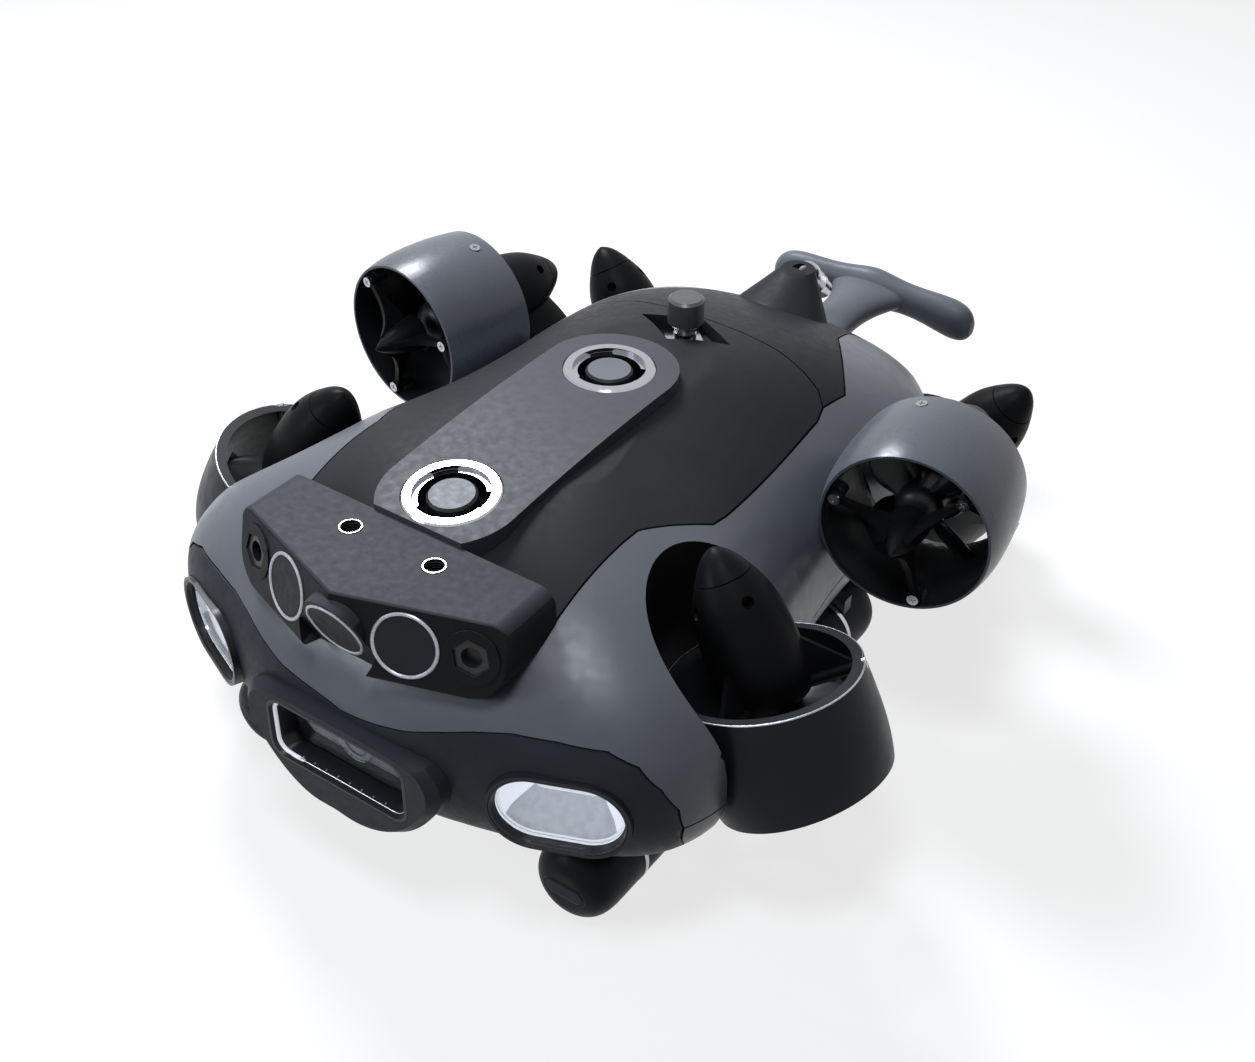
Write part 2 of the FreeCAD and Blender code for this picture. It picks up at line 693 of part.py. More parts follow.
def groove_tools(radius, cover=0.0):
    """Spaces round a mid and a rear duct where they lie in the hull, with a cover on the rear one."""
    rear = mm("Sizes.rear_duct_length + Sizes.seat_gap * 2") + cover
    return [put(Part.makeCylinder(radius, 24 + reach, Vector(0, 0, -24)), thruster_place(station))
            for station, reach in (("mid", 52), ("rear", rear))]


def hull_skin(outer):
    """Moulded skin with the walls of its wells and grooves, and the camera housing."""
    radius = mm("Sizes.well_radius")
    wall = mm("Sizes.well_wall")
    duct = mm("Sizes.duct_belly_radius") + .4
    hollow = hull_form(mm("Sizes.hull_wall"))
    spots = (FRONT_WELL, REAR_WELL)
    sleeves = [upright(radius + wall, spot) for spot in spots] + groove_tools(duct + wall, wall)
    openings = [upright(radius, spot) for spot in spots] + groove_tools(duct)
    hollow = hollow.cut(Part.makeCompound(sleeves + [flip(s) for s in sleeves]))
    skin = outer.cut(hollow)
    skin = skin.fuse(camera_housing())
    return skin.cut(Part.makeCompound(openings + [flip(s) for s in openings]))


def zone(plan, margin, floor):
    """Upright space over a symmetric plan outline, grown by a margin."""
    return prism(grown(both_sides(plan), margin), floor, 220)


def port_place(y):
    """Placement on the arched top plate, upright to it."""
    arch = mm("Sizes.plate_arch_radius")
    reach = y - mm("Sizes.port_rear_y")
    drop = arch - math.sqrt(arch ** 2 - reach ** 2)
    lean = math.degrees(math.asin(-reach / arch))
    return at(0, y, mm("Sizes.port_top_height") - drop, Rotation(Vector(1, 0, 0), lean))


def port_places():
    """Placements of the front and rear accessory ports."""
    return {end: port_place(mm(f"Sizes.port_{end}_y")) for end in ("front", "rear")}


def lamp_place():
    """Placement of the right lamp, its Z axis pointing out of the bow."""
    toe = math.radians(mm("Sizes.lamp_toe"))
    aim = Rotation(Vector(math.cos(toe), math.sin(toe), 0), Vector(0, 0, 1),
                   Vector(math.sin(toe), -math.cos(toe), 0), "ZXY")
    return at(90, -197.5, 75, aim)


def camera_place():
    """Placement of the camera window, its Z axis pointing forwards."""
    aim = Rotation(Vector(1, 0, 0), Vector(0, 0, 1), Vector(0, -1, 0), "ZXY")
    return at(0, mm("Sizes.window_y"), mm("Sizes.window_height"), aim)


def rounded(half_width, half_height, corner, low, high):
    """Block with rounded upright corners, centred on its Z axis."""
    box = Part.makeBox(2 * half_width, 2 * half_height, high - low,
                       Vector(-half_width, -half_height, low))
    upright_edges = [e for e in box.Edges if abs(e.tangentAt(e.FirstParameter).z) > .99]
    return box.makeFillet(corner, upright_edges)


def tube_place(y=0.0):
    """Placement on the right battery tube's axis, Z pointing aft."""
    return at(mm("Sizes.tube_half_span"), y, mm("Sizes.tube_height"),
              Rotation(Vector(1, 0, 0), -90))


def latch_place():
    """Placement of the right battery latch's pin, Z pointing outboard."""
    return at(mm("Sizes.tube_half_span"), mm("Sizes.tube_tail_y") + 2.6, 35.5,
              Rotation(Vector(0, 1, 0), 90))


def hull_panels(outer):
    """Upper and lower shells, fascia, centre deck and tail cover, cut from one skin."""
    skin = hull_skin(outer)
    half_gap = mm("Sizes.panel_gap") / 2
    seam = mm("Sizes.side_seam_height")
    fascia_near, fascia_far = fascia_region(-half_gap), fascia_region(half_gap)
    above = Part.makeBox(400, 500, 200, Vector(-200, -250, seam + half_gap))
    below = Part.makeBox(400, 500, 200, Vector(-200, -250, seam - half_gap - 200))
    upper = skin.common(above).cut(Part.makeCompound([fascia_far]))
    deck_far = zone(DECK_PLAN, half_gap, 88)
    tail_far = zone(TAIL_PLAN, half_gap, TAIL_COVER_FLOOR)
    upper = upper.cut(deck_far).cut(tail_far)
    bar = tool_bar_bolt_holes()
    publish(feature("upper", upper.cut(bar)), "upper_shell")
    publish(feature("lower", lower_shell(skin.common(below).cut(fascia_far))), "lower_shell")
    publish(feature("fascia", fascia(skin.common(fascia_near))), "front_fascia")
    publish(feature("deck", deck(skin.common(zone(DECK_PLAN, -half_gap, 88)), outer)), "centre_deck")
    cover = skin.common(zone(TAIL_PLAN, -half_gap, TAIL_COVER_FLOOR + 2 * half_gap))
    publish(feature("tail", tail_cover(cover)), "tail_cover")


def lower_shell(shape):
    """Lower shell with chassis posts, battery saddles and latch ears."""
    floor = HULL_LEVELS[0].height
    posts = [Part.makeCylinder(4, POST_TOP - floor - 1, Vector(x, y, floor + 1))
             for x in (-POST_X, POST_X) for y in POST_YS]
    tube = put(Part.makeCylinder(mm("Sizes.tube_radius + Sizes.seat_gap"), 300, Vector(0, 0, -250)),
               tube_place())
    middle = mm("Sizes.tube_half_span")
    saddles = [Part.makeBox(26, 6.4, 11, Vector(middle - 13, y, floor - 9.5)) for y in SADDLE_YS]
    pin = latch_place()
    gap = mm("Sizes.seat_gap")
    reach = mm("Sizes.latch_width") / 2 + gap
    bore = Part.makeCylinder(mm("Sizes.latch_pin_radius + Sizes.run_gap"), 60, Vector(0, 0, -30))
    ears = [Part.makeBox(22, 5.6, 3, Vector(-20, -2.8, z)) for z in (reach, -reach - 3)]
    ears = put(Part.makeCompound(ears).cut(bore), pin)
    side = Part.makeCompound(saddles).cut(tube)
    pieces = [side, flip(side), ears, flip(ears)]
    solids = [solid for piece in pieces for solid in piece.Solids]
    return shape.multiFuse(posts + solids)


def fascia(shape):
    """Front fascia with the lamp openings and the stepped camera opening."""
    gap = mm("Sizes.seat_gap")
    lamp = put(oblong(mm("Sizes.lamp_half_length") + gap, mm("Sizes.lamp_radius") + gap, -30, 30),
               lamp_place())
    wide = mm("Sizes.window_half_width") + gap
    high = mm("Sizes.window_half_height") + gap
    pocket = rounded(wide, high, 8, -2.8, 30)
    throat = rounded(wide - 6, high - 4, 6, -30, 0)
    tools = [lamp, flip(lamp), put(pocket, camera_place()), put(throat, camera_place())]
    return shape.cut(Part.makeCompound(tools))


def vent_recess(grow, low, high):
    """Diamond prism round the vent."""
    y = mm("Sizes.vent_y")
    return prism([(-24 - grow, y), (0, y - 15 - grow), (24 + grow, y), (0, y + 15 + grow)], low, high)


def deck(shape, outer):
    """Centre deck with its vent recess and the openings for the port cups."""
    floor = mm("Sizes.vent_floor")
    shape = shape.fuse(vent_recess(2, floor - 2.2, 200).common(outer))
    tools = [vent_recess(0, floor, 200)]
    for place in port_places().values():
        tools.append(put(Part.makeCylinder(mm("Sizes.ring_radius") - 2.6, 40, Vector(0, 0, -20)), place))
    vent = Part.makeCylinder(mm("Sizes.vent_stem_radius") + 2, 20, Vector(0, mm("Sizes.vent_y"), floor - 10))
    return shape.cut(Part.makeCompound(tools)).cut(vent).cut(tool_bar_bolt_holes())


def tether_place():
    """Placement of the tether connector, Z pointing aft and down."""
    return aimed((0, 131.5, 131.0), (0, .77, -.64))


def tail_cover(shape):
    """Tail cover with its hump and the flat seat of the tether connector."""
    wires = []
    for y, height, across, along in ((90, 108, 36, 34), (102, 120, 26, 25), (115, 131, 15, 14.5),
                                     (123, 138, 8.5, 8)):
        ellipse = Part.Ellipse(Vector(0, 0, 0), across, along)
        wires.append(put(Part.Wire(ellipse.toShape()), at(0, y, height)))
    hump = Part.makeLoft(wires, True, False)
    hollow = hull_form(mm("Sizes.hull_wall"))
    seat = put(Part.makeCylinder(9, 40), tether_place())
    bore = put(Part.makeCylinder(3.2, 60, Vector(0, 0, -12)), tether_place())
    return shape.fuse(hump.cut(hollow)).cut(seat.fuse(bore))


def top_plate(outer):
    """Arched top plate lying on the centre deck, pierced for the ports."""
    half = mm("Sizes.plate_half_width")
    front, rear = mm("Sizes.port_front_y"), mm("Sizes.port_rear_y")
    arch = mm("Sizes.plate_arch_radius")
    slab = put(oblong((rear - front) / 2 + half, half, 120, 170),
               at(0, (front + rear) / 2, 0, Rotation(Vector(0, 0, 1), 90)))
    crown = Part.makeCylinder(arch, 200, Vector(-100, rear, mm("Sizes.port_top_height") - arch),
                              Vector(1, 0, 0))
    plate = slab.common(crown)
    lifted = outer.copy()
    lifted.translate(Vector(0, 0, mm("Sizes.seat_gap")))
    tools = [Part.makeBox(100, 40, 60, Vector(-50, mm("Sizes.bar_rear_y + Sizes.seat_gap") - 40, 120))]
    for place in port_places().values():
        tools.append(put(Part.makeCylinder(mm("Sizes.ring_radius + Sizes.seat_gap"), 20,
                                           Vector(0, 0, .6 - mm("Sizes.ring_thickness"))), place))
        tools.append(put(Part.makeCylinder(mm("Sizes.ring_radius") - 2.6, 40, Vector(0, 0, -20)), place))
    return plate.cut(lifted).cut(Part.makeCompound(tools))


# --- ports and vent -------------------------------------------------------------------------

def ports():
    """Bayonet rings, cups and twist plugs of the two accessory ports."""
    ring = turned("ring", [
        ("Sizes.ring_bore_radius", "0.6"), ("Sizes.ring_radius - 0.8", "0.6"),
        ("Sizes.ring_radius", "-0.2"), ("Sizes.ring_radius", "0.6 - Sizes.ring_thickness"),
        ("Sizes.ring_bore_radius - 2.2", "0.6 - Sizes.ring_thickness"),
        ("Sizes.ring_bore_radius - 2.2", "1.8 - Sizes.ring_thickness"),
        ("Sizes.ring_bore_radius", "1.8 - Sizes.ring_thickness")])
    slots = []
    for number, phase in enumerate((20, 140, 260)):
        turn = Placement(Vector(), Rotation(Vector(0, 0, 1), phase))
        slot = block(f"slot{number}", "8", "10", "6",
                     turn.multiply(at(mm("Sizes.ring_bore_radius") - 8, -5, -4)))
        slots.append(slot)
    keep = rod("slot_reach", "Sizes.ring_bore_radius - 0.1", "12", at(0, 0, -6))
    keys = doc.addObject("Part::MultiCommon", "slot_keys")
    keys.Shapes = [group("slot_set", *slots), keep]
    ring_cut = cut("ring_cut", ring, keys)
    cup = turned("cup", [
        ("Sizes.plug_stem_radius + Sizes.run_gap", "-Sizes.cup_depth"),
        ("Sizes.plug_radius - 3", "-Sizes.cup_depth"), ("Sizes.plug_radius - 3", "0.6 - Sizes.cup_depth"),
        ("Sizes.ring_radius - 5", "0.6 - Sizes.cup_depth"), ("Sizes.ring_radius - 5", "0.4 - Sizes.ring_thickness"),
        ("Sizes.ring_radius - 2.8", "0.4 - Sizes.ring_thickness"),
        ("Sizes.ring_radius - 2.8", "-Sizes.cup_depth - 2"),
        ("Sizes.plug_stem_radius + Sizes.run_gap", "-Sizes.cup_depth - 2")])
    plug = turned("plug", [
        ("0", "-0.4"), ("Sizes.plug_radius - 1", "-0.4"), ("Sizes.plug_radius", "-1.4"),
        ("Sizes.plug_radius", "-0.4 - Sizes.plug_height"),
        ("Sizes.plug_radius - 3", "-0.8 - Sizes.plug_height"),
        ("Sizes.plug_radius - 3", "0.4 - Sizes.cup_depth"),
        ("Sizes.plug_stem_radius", "0.3 - Sizes.cup_depth"),
        ("Sizes.plug_stem_radius", "-Sizes.cup_depth - 2.5"), ("0", "-Sizes.cup_depth - 2.5")])
    rings, cups = [], []
    for end, place in port_places().items():
        rings.append(placed(f"{end}_ring", ring_cut, place))
        cups.append(placed(f"{end}_cup", cup, place))
        publish(placed(f"{end}_plug", plug, place), f"port_plug_{end}")
    publish(group("rings", *rings), "port_rings")
    publish(group("cups", *cups), "port_cups")


def vent():
    """Vent base plate with its collar, and the screw cap that turns on it."""
    floor = "Sizes.vent_floor"
    plate = add("Part::Prism", "vent_plate", Circumradius="Sizes.vent_base_half",
                Height="Sizes.vent_base_thickness")
    plate.Polygon = 4
    collar = rod("vent_collar", "Sizes.vent_stem_radius + 2.6", "Sizes.vent_base_thickness + 4")
    stub = rod("vent_stub", "Sizes.vent_stem_radius + 1.8", "6", at(0, 0, -6))
    bore = rod("vent_bore", "Sizes.vent_stem_radius + Sizes.run_gap", "40", at(0, 0, -20))
    base = cut("vent_base_cut", join("vent_base_join", plate, collar, stub), bore)
    base.Placement = at(0, mm("Sizes.vent_y"), mm(floor))
    publish(base, "vent_base")
    cap = turned("vent_knob", [
        ("0", floor + " - 4"), ("Sizes.vent_stem_radius", floor + " - 4"),
        ("Sizes.vent_stem_radius", floor + " + Sizes.vent_base_thickness + 4.3"),
        ("Sizes.vent_stem_radius + 2", floor + " + Sizes.vent_base_thickness + 4.3"),
        ("Sizes.vent_stem_radius + 3.4", "Sizes.vent_cap_bottom - 0.6"),
        ("Sizes.vent_cap_radius - 0.8", "Sizes.vent_cap_bottom"),
        ("Sizes.vent_cap_radius", "Sizes.vent_cap_bottom + 0.8"),
        ("Sizes.vent_cap_radius", "Sizes.vent_cap_top - 1.2"),
        ("Sizes.vent_cap_radius - 1.2", "Sizes.vent_cap_top"), ("0", "Sizes.vent_cap_top")])
    cap.Placement = at(0, mm("Sizes.vent_y"), 0)
    publish(cap, "vent_cap")


# --- tool bar -------------------------------------------------------------------------------

FACET_NORMAL = Vector(.31, -.93, .21)
SIDE_SONAR = Vector(29.3, -207.6, 132.8)
BOLT_SPOT = Vector(53.6, -200.0, 133.6)
MIDDLE_SONAR = Vector(0, -213.0, 129.6)
MIDDLE_NORMAL = Vector(0, -.951, -.309)


def bolt_place():
    """Placement of the right end bolt on its boss, Z pointing out of the bar's face."""
    return aimed(BOLT_SPOT, FACET_NORMAL)


def sonar_places():
    """Placements of the three sonar faces."""
    right = aimed(SIDE_SONAR, FACET_NORMAL)
    left = aimed((-SIDE_SONAR.x, SIDE_SONAR.y, SIDE_SONAR.z),
                 (-FACET_NORMAL.x, FACET_NORMAL.y, FACET_NORMAL.z))
    return [right, left, aimed(MIDDLE_SONAR, MIDDLE_NORMAL)]


def tool_bar_bolt_holes():
    """Holes that the end bolts pass through in bar and hull."""
    hole = put(Part.makeCylinder(4.2, 50, Vector(0, 0, -48)), bolt_place())
    return Part.makeCompound([hole, flip(hole)])


def bar_blank():
    """Tool bar before its recesses: a rounded front outline with a two-facet face."""
    half, top, bottom = mm("Sizes.bar_half_width"), mm("Sizes.bar_top"), mm("Sizes.bar_bottom")
    crown, heel = 7.0, 14.0
    rear = mm("Sizes.bar_rear_y")

    def corner(x, z, radius, turn):
        """Quarter arc round a corner of the outline."""
        start, middle, end = (math.radians(turn + step) for step in (0, 45, 90))
        spots = [Vector(x + radius * math.cos(a), rear, z + radius * math.sin(a))
                 for a in (start, middle, end)]
        return Part.Arc(*spots).toShape()

    arcs = [corner(half - heel, bottom + heel, heel, -90), corner(half - crown, top - crown, crown, 0),
            corner(crown - half, top - crown, crown, 90), corner(heel - half, bottom + heel, heel, 180)]
    edges = []
    for index, arc in enumerate(arcs):
        following = arcs[(index + 1) % 4]
        edges += [arc, Part.makeLine(arc.Vertexes[1].Point, following.Vertexes[0].Point)]
    solid = Part.Face(Part.Wire(edges)).extrude(Vector(0, -60, 0))
    wedge = put(Part.makeBox(400, 400, 100, Vector(-200, -200, 0)), aimed(SIDE_SONAR, FACET_NORMAL))
    return solid.cut(wedge).cut(flip(wedge))


def tool_bar(outer):
    """Tool bar with its bosses, sonar recesses, bolt pockets and insert holes."""
    ring = mm("Sizes.sonar_radius")
    bar = bar_blank()
    rim = [e for e in bar.Edges if e.BoundBox.ZMin > mm("Sizes.bar_top") - .01
           and e.BoundBox.YMax < mm("Sizes.bar_rear_y") - 1]
    bar = bar.makeFillet(1.6, rim)
    middle = put(Part.makeCylinder(ring + 1.6, 24, Vector(0, 0, -24)), sonar_places()[2])
    boss = put(Part.makeCylinder(11, 10, Vector(0, 0, -10)), bolt_place())
    bar = bar.multiFuse([middle, boss, flip(boss)])
    lifted = outer.copy()
    lifted.translate(Vector(0, 0, mm("Sizes.seat_gap")))
    tools = [put(Part.makeCylinder(ring + .1, 10, Vector(0, 0, -1.4)), place)
             for place in sonar_places()]
    pocket = Part.makePolygon([Vector(7.5 * math.cos(math.radians(60 * s)),
                                      7.5 * math.sin(math.radians(60 * s)), -5) for s in range(7)])
    pocket = put(Part.Face(pocket).extrude(Vector(0, 0, 12)), bolt_place())
    tools += [pocket, flip(pocket), tool_bar_bolt_holes()]
    tools.append(put(Part.makeCylinder(ring + 6, 12), sonar_places()[2]))
    for x in (-1, 1):
        tools.append(Part.makeCylinder(mm("Sizes.insert_radius + 0.05"), mm("Sizes.insert_length") + 9,
                                       Vector(x * mm("Sizes.insert_spacing") / 2, mm("Sizes.insert_y"),
                                              mm("Sizes.bar_top") - mm("Sizes.insert_length"))))
    return bar.cut(lifted).cut(Part.makeCompound(tools))


def bar_fittings():
    """Sonar faces and rings, end bolts and threaded inserts."""
    face = rod("sonar_face", "Sizes.sonar_face_radius", "1.5", at(0, 0, -1.3))
    band = turned("sonar_band", [
        ("Sizes.sonar_face_radius + 0.1", "-1.3"), ("Sizes.sonar_radius", "-1.3"),
        ("Sizes.sonar_radius", "0.3"), ("Sizes.sonar_radius - 0.4", "0.7"),
        ("Sizes.sonar_face_radius + 0.5", "0.7"), ("Sizes.sonar_face_radius + 0.1", "0.3")])
    places = sonar_places()
    publish(group("faces", *[placed(f"face{i}", face, p) for i, p in enumerate(places)]), "sonar_faces")
    publish(group("bands", *[placed(f"band{i}", band, p) for i, p in enumerate(places)]), "sonar_rings")
    head = add("Part::Prism", "bolt_head", Circumradius="7.3")
    head.Polygon = 6
    head.Height = 4
    head.Placement = at(0, 0, -4.9)
    shank = rod("bolt_shank", "4", "34", at(0, 0, -38))
    socket = rod("bolt_socket", "4.1", "6", at(0, 0, -4.4))
    bolt = cut("bolt", join("bolt_blank", head, shank), socket)
    bolt = placed("bolt_right", bolt, bolt_place())
    publish(pair("bolts", bolt), "bar_bolts")
    insert = turned("insert", [
        ("Sizes.insert_bore_radius", "Sizes.bar_top - Sizes.insert_length"),
        ("Sizes.insert_radius", "Sizes.bar_top - Sizes.insert_length"),
        ("Sizes.insert_radius", "Sizes.bar_top + 0.3"),
        ("Sizes.insert_bore_radius", "Sizes.bar_top + 0.3")])
    insert.Placement = at(mm("Sizes.insert_spacing") / 2, mm("Sizes.insert_y"), 0)
    publish(pair("inserts", insert), "threaded_inserts")


# --- lamps and camera -----------------------------------------------------------------------

def lamps():
    """The two lamps: bezel, lens, reflector and emitter board."""
    half, end, rim = mm("Sizes.lamp_half_length"), mm("Sizes.lamp_radius"), mm("Sizes.lamp_rim")
    gap = mm("Sizes.seat_gap")
    place = lamp_place()

    def flare(front, back, high, low):
        """Opening that narrows from front to back: amounts drawn in from the bezel's edge."""
        wires = [oblong(half - front, end - front, high, high), oblong(half - back, end - back, low, low)]
        return Part.makeLoft(wires, True, True)

    bezel = oblong(half, end, -9, 2.2)
    bezel = bezel.cut(oblong(half - rim, end - rim, -10, -1.4)).cut(flare(1.4, rim, 2.2, -1.5))
    lens = oblong(half - rim - gap, end - rim - gap, -4.2, -1.6)
    bowl = flare(rim + gap, 13.5, -4.4, -17).cut(flare(rim + gap + 1.2, 14.7, -4.3, -17.1))
    board = oblong(half - 13, end - 13, -19.2, -17.2).fuse(oblong(8, 2.4, -17.3, -16.4))
    for name, shape in (("bezel", bezel), ("lens", lens), ("reflector", bowl), ("emitter", board)):
        publish(pair(f"lamp_{name}_pair", feature(f"lamp_{name}", put(shape, place))),
                "lamp_lenses" if name == "lens" else f"lamp_{name}s")


def camera():
    """Camera bezel with its flared opening, window and camera module."""
    wide, high = mm("Sizes.window_half_width"), mm("Sizes.window_half_height")
    depth = mm("Sizes.window_y") - mm("Sizes.bulge_front_y")
    gap = mm("Sizes.seat_gap")
    place = camera_place()
    front = rounded(wide - 1.6, high - 1.4, 6.5, depth - 1, depth)
    back = rounded(wide - 5.4, high - 3.6, 5, gap, gap + 1)
    wires = [max(block.Faces, key=lambda f: f.CenterOfMass.z).OuterWire for block in (front, back)]
    opening = Part.makeLoft(wires, True, True)
    low = rounded(wide - 5.4, high - 3.6, 5, 0, gap + 1.1)
    bezel = rounded(wide, high, 7.8, gap, depth).cut(opening).cut(low)
    window = rounded(wide, high, 7.8, -2.6, 0)
    module = rounded(wide - 6, high - 4, 5.8, -15, -7)
    barrel = Part.makeCylinder(8, 5, Vector(0, 0, -8)).cut(Part.makeCylinder(6.2, 2, Vector(0, 0, -4)))
    module = module.fuse(barrel)
    for name, shape in (("bezel", bezel), ("window", window), ("module", module)):
        publish(feature(f"camera_{name}_shape", put(shape, place)), f"camera_{name}")


# --- belly, tail and inside -----------------------------------------------------------------

SADDLE_YS = (-163.8, 14.0)
POST_X = 40.0
POST_YS = (-140.0, 60.0)
POST_TOP = 61.8


def batteries():
    """Battery tubes with end caps, bands and packs, their rest pads and latches."""
    nose, tail = mm("Sizes.tube_nose_y"), mm("Sizes.tube_tail_y")
    radius = mm("Sizes.tube_radius")
    bore = mm("Sizes.tube_bore_radius")
    front = mm("Sizes.tube_band_front_y") - nose
    rear = mm("Sizes.tube_band_rear_y") - nose
    width = mm("Sizes.band_width")
    place = tube_place(nose)
    tube = pipe("battery_tube", "Sizes.tube_radius", "Sizes.tube_bore_radius",
                "Sizes.tube_band_rear_y - Sizes.tube_band_front_y - Sizes.band_width")
    tube.Placement = tube_place(mm("Sizes.tube_band_front_y + Sizes.band_width / 2"))
    publish(pair("tubes", tube), "battery_tubes")
    nose_skin = [(8.5, 0), (radius - 5.5, 1.5), (radius - 1.9, 5.2), (radius - .3, 10.5), (radius, 17)]
    nose_cap = revolved(nose_skin, (radius, front - width / 2), (0, front - width / 2), (0, 0))
    plug = Part.makeCylinder(bore - .1, width + 6, Vector(0, 0, front - width / 2 - 1))
    length = tail - nose
    tail_skin = [(radius, length - 12), (radius - .4, length - 6.5), (radius - 2, length - 2.6),
                 (radius - 4.6, length - .6), (radius - 8, length)]
    tail_cap = revolved(tail_skin, (0, length), (0, rear + width / 2), (radius, rear + width / 2))
    tail_plug = Part.makeCylinder(bore - .1, width + 6, Vector(0, 0, rear - width / 2 - 5))
    caps = Part.makeCompound([nose_cap.fuse(plug), tail_cap.fuse(tail_plug)])
    publish(pair("battery_cap_pair", feature("caps", put(caps, place))), "battery_caps")
    band = pipe("battery_band", "Sizes.tube_radius + 0.3", "Sizes.tube_bore_radius",
                "Sizes.band_width - 0.2")
    bands = group("band_pair", *[
        placed(f"band_{end}", band, tube_place(mm(f"Sizes.tube_band_{end}_y") - width / 2 + .1))
        for end in ("front", "rear")])
    publish(pair("battery_band_all", bands), "battery_bands")
    pack = rod("pack", "Sizes.tube_bore_radius - Sizes.seat_gap",
               "Sizes.tube_band_rear_y - Sizes.tube_band_front_y - 16",
               tube_place(mm("Sizes.tube_band_front_y") + 8))
    publish(pair("packs", pack), "battery_packs")
    middle = mm("Sizes.tube_half_span")
    round_tool = put(Part.makeCylinder(radius + .1, 300), place)
    thick = mm("Sizes.pad_thickness")
    pads = [Part.makeBox(16, 34, thick, Vector(middle - 8, y, 0)) for y in (-142, -30)]
    publish(pair("pad_pair", feature("pads", Part.makeCompound(pads).cut(round_tool))), "rest_pads")
    lever = latch_form()
    publish(lever, "battery_latch_right")
    publish(mirrored("latch_left", lever), "battery_latch_left")


def latch_form():
    """Battery latch: pin, lever plate and finger tab, hanging from the pin."""
    half = mm("Sizes.latch_width") / 2
    pin = Part.makeCylinder(mm("Sizes.latch_pin_radius"), 2 * half + 6, Vector(0, 0, -half - 3))
    boss = Part.makeCylinder(2.9, 2 * half, Vector(0, 0, -half))
    plate = Part.makeBox(22, 3, 2 * half, Vector(0, -2.1, -half))
    tab = Part.makeBox(2.4, 4.6, 2 * half, Vector(19.6, .9, -half))
    return feature("latch_right", put(pin.multiFuse([boss, plate, tab]), latch_place()))


def handle(outer):
    """T-shaped tow handle: tapered cross bar blended into a flat stem."""
    half, y0, z0 = (mm(f"Sizes.handle_{key}") for key in ("half_width", "y", "height"))
    depth = mm("Sizes.handle_depth")
    wires = []
    for share in (-1, -.93, -.6, 0, .6, .93, 1):
        swell = .35 if abs(share) == 1 else 1 - .22 * abs(share)
        ellipse = Part.Ellipse(Vector(0, 0, 0), (depth + 3) * swell, depth * swell)
        spot = at(half * share, y0, z0 - 5.5 * share ** 2, Rotation(Vector(0, 1, 0), 90))
        wires.append(put(Part.Wire(ellipse.toShape()), spot))
    bar = Part.makeLoft(wires, True, False)
    stem_wires = []
    for y, across, thick in ((128, 17, 8.5), (150, 15, 8.5), (178, 13, 8), (196, 17, 8), (y0 + 1, 27, 7)):
        ellipse = Part.Ellipse(Vector(0, 0, 0), across, thick)
        stem_wires.append(put(Part.Wire(ellipse.toShape()), at(0, y, z0 - 1, Rotation(Vector(1, 0, 0), 90))))
    stem = Part.makeLoft(stem_wires, True, False)
    return bar.fuse(stem).cut(outer)


def tether_connector():
    """Tether connector: flange, barrel and socket, turned about its axis."""
    body = turned("tether", [
        ("0", "0"), ("Sizes.tether_radius + 2", "0"), ("Sizes.tether_radius + 2", "3"),
        ("Sizes.tether_radius - 0.6", "3"), ("Sizes.tether_radius - 0.6", "5.5"),
        ("Sizes.tether_radius + 0.8", "6.5"), ("Sizes.tether_radius + 0.8", "19"),
        ("Sizes.tether_radius", "20"), ("Sizes.tether_radius", "27"),
        ("Sizes.tether_radius - 1.6", "27"), ("Sizes.tether_radius - 1.6", "21"), ("0", "21")])
    body.Placement = tether_place()
    publish(body, "tether_connector")


def inside():
    """Chassis, pressure housing with its end caps, and the electronics board."""
    radius = "Sizes.housing_radius"
    length = "Sizes.housing_length"
    start = mm("Sizes.housing_y - Sizes.housing_length / 2")
    axis = Rotation(Vector(1, 0, 0), -90)
    height = mm("Sizes.housing_height")
    tube = pipe("housing_tube", radius, radius + " - 2.5", length + " - 16")
    tube.Placement = at(0, start + 8, height, axis)
    lid = turned("housing_lid", [
        ("0", "0"), (radius, "0"), (radius, "7.9"), (radius + " - 2.6", "7.9"),
        (radius + " - 2.6", "16"), ("0", "16")])
    front = placed("lid_front", lid, at(0, start, height, axis))
    rear = placed("lid_rear", lid, at(0, start + mm(length), height, Rotation(Vector(1, 0, 0), 90)))
    publish(group("housing_all", tube, front, rear), "pressure_housing")
    half = mm(radius) - 2.5
    board = Part.makeBox(2 * half - .8, mm(length) - 40, 1.6, Vector(.4 - half, start + 20, height - 3))
    chips = [Part.makeBox(16, 20, 4, Vector(-8, start + offset, height - 1.5)) for offset in (30, 60, 90)]
    publish(feature("board", board.multiFuse(chips)), "electronics_board")
    thick = mm("Sizes.chassis_thickness")
    plate = Part.makeBox(100, 230, thick, Vector(-50, -155, POST_TOP + .2))
    cradles = [Part.makeBox(44, 10, height - POST_TOP - 14, Vector(-22, start + offset, POST_TOP + 1))
               for offset in (20, mm(length) - 30)]
    hollow = Part.makeCylinder(mm(radius) + .3, 400, Vector(0, -200, height), Vector(0, 1, 0))
    windows = [Part.makeBox(60, 50, 20, Vector(-30, y, POST_TOP - 5)) for y in (-85, 10)]
    frame = plate.multiFuse(cradles).cut(Part.makeCompound([hollow, *windows]))
    publish(feature("chassis_shape", frame), "chassis")


# --- assembly -------------------------------------------------------------------------------

outer_form = hull_form()
hull_panels(outer_form)
publish(feature("plate", top_plate(outer_form)), "top_plate")
ports()
vent()
publish(feature("bar_body", tool_bar(outer_form)), "tool_bar")
bar_fittings()
lamps()
camera()
thrusters(outer_form)
batteries()
publish(feature("handle_body", handle(outer_form)), "tow_handle")
tether_connector()
inside()
doc.recompute()

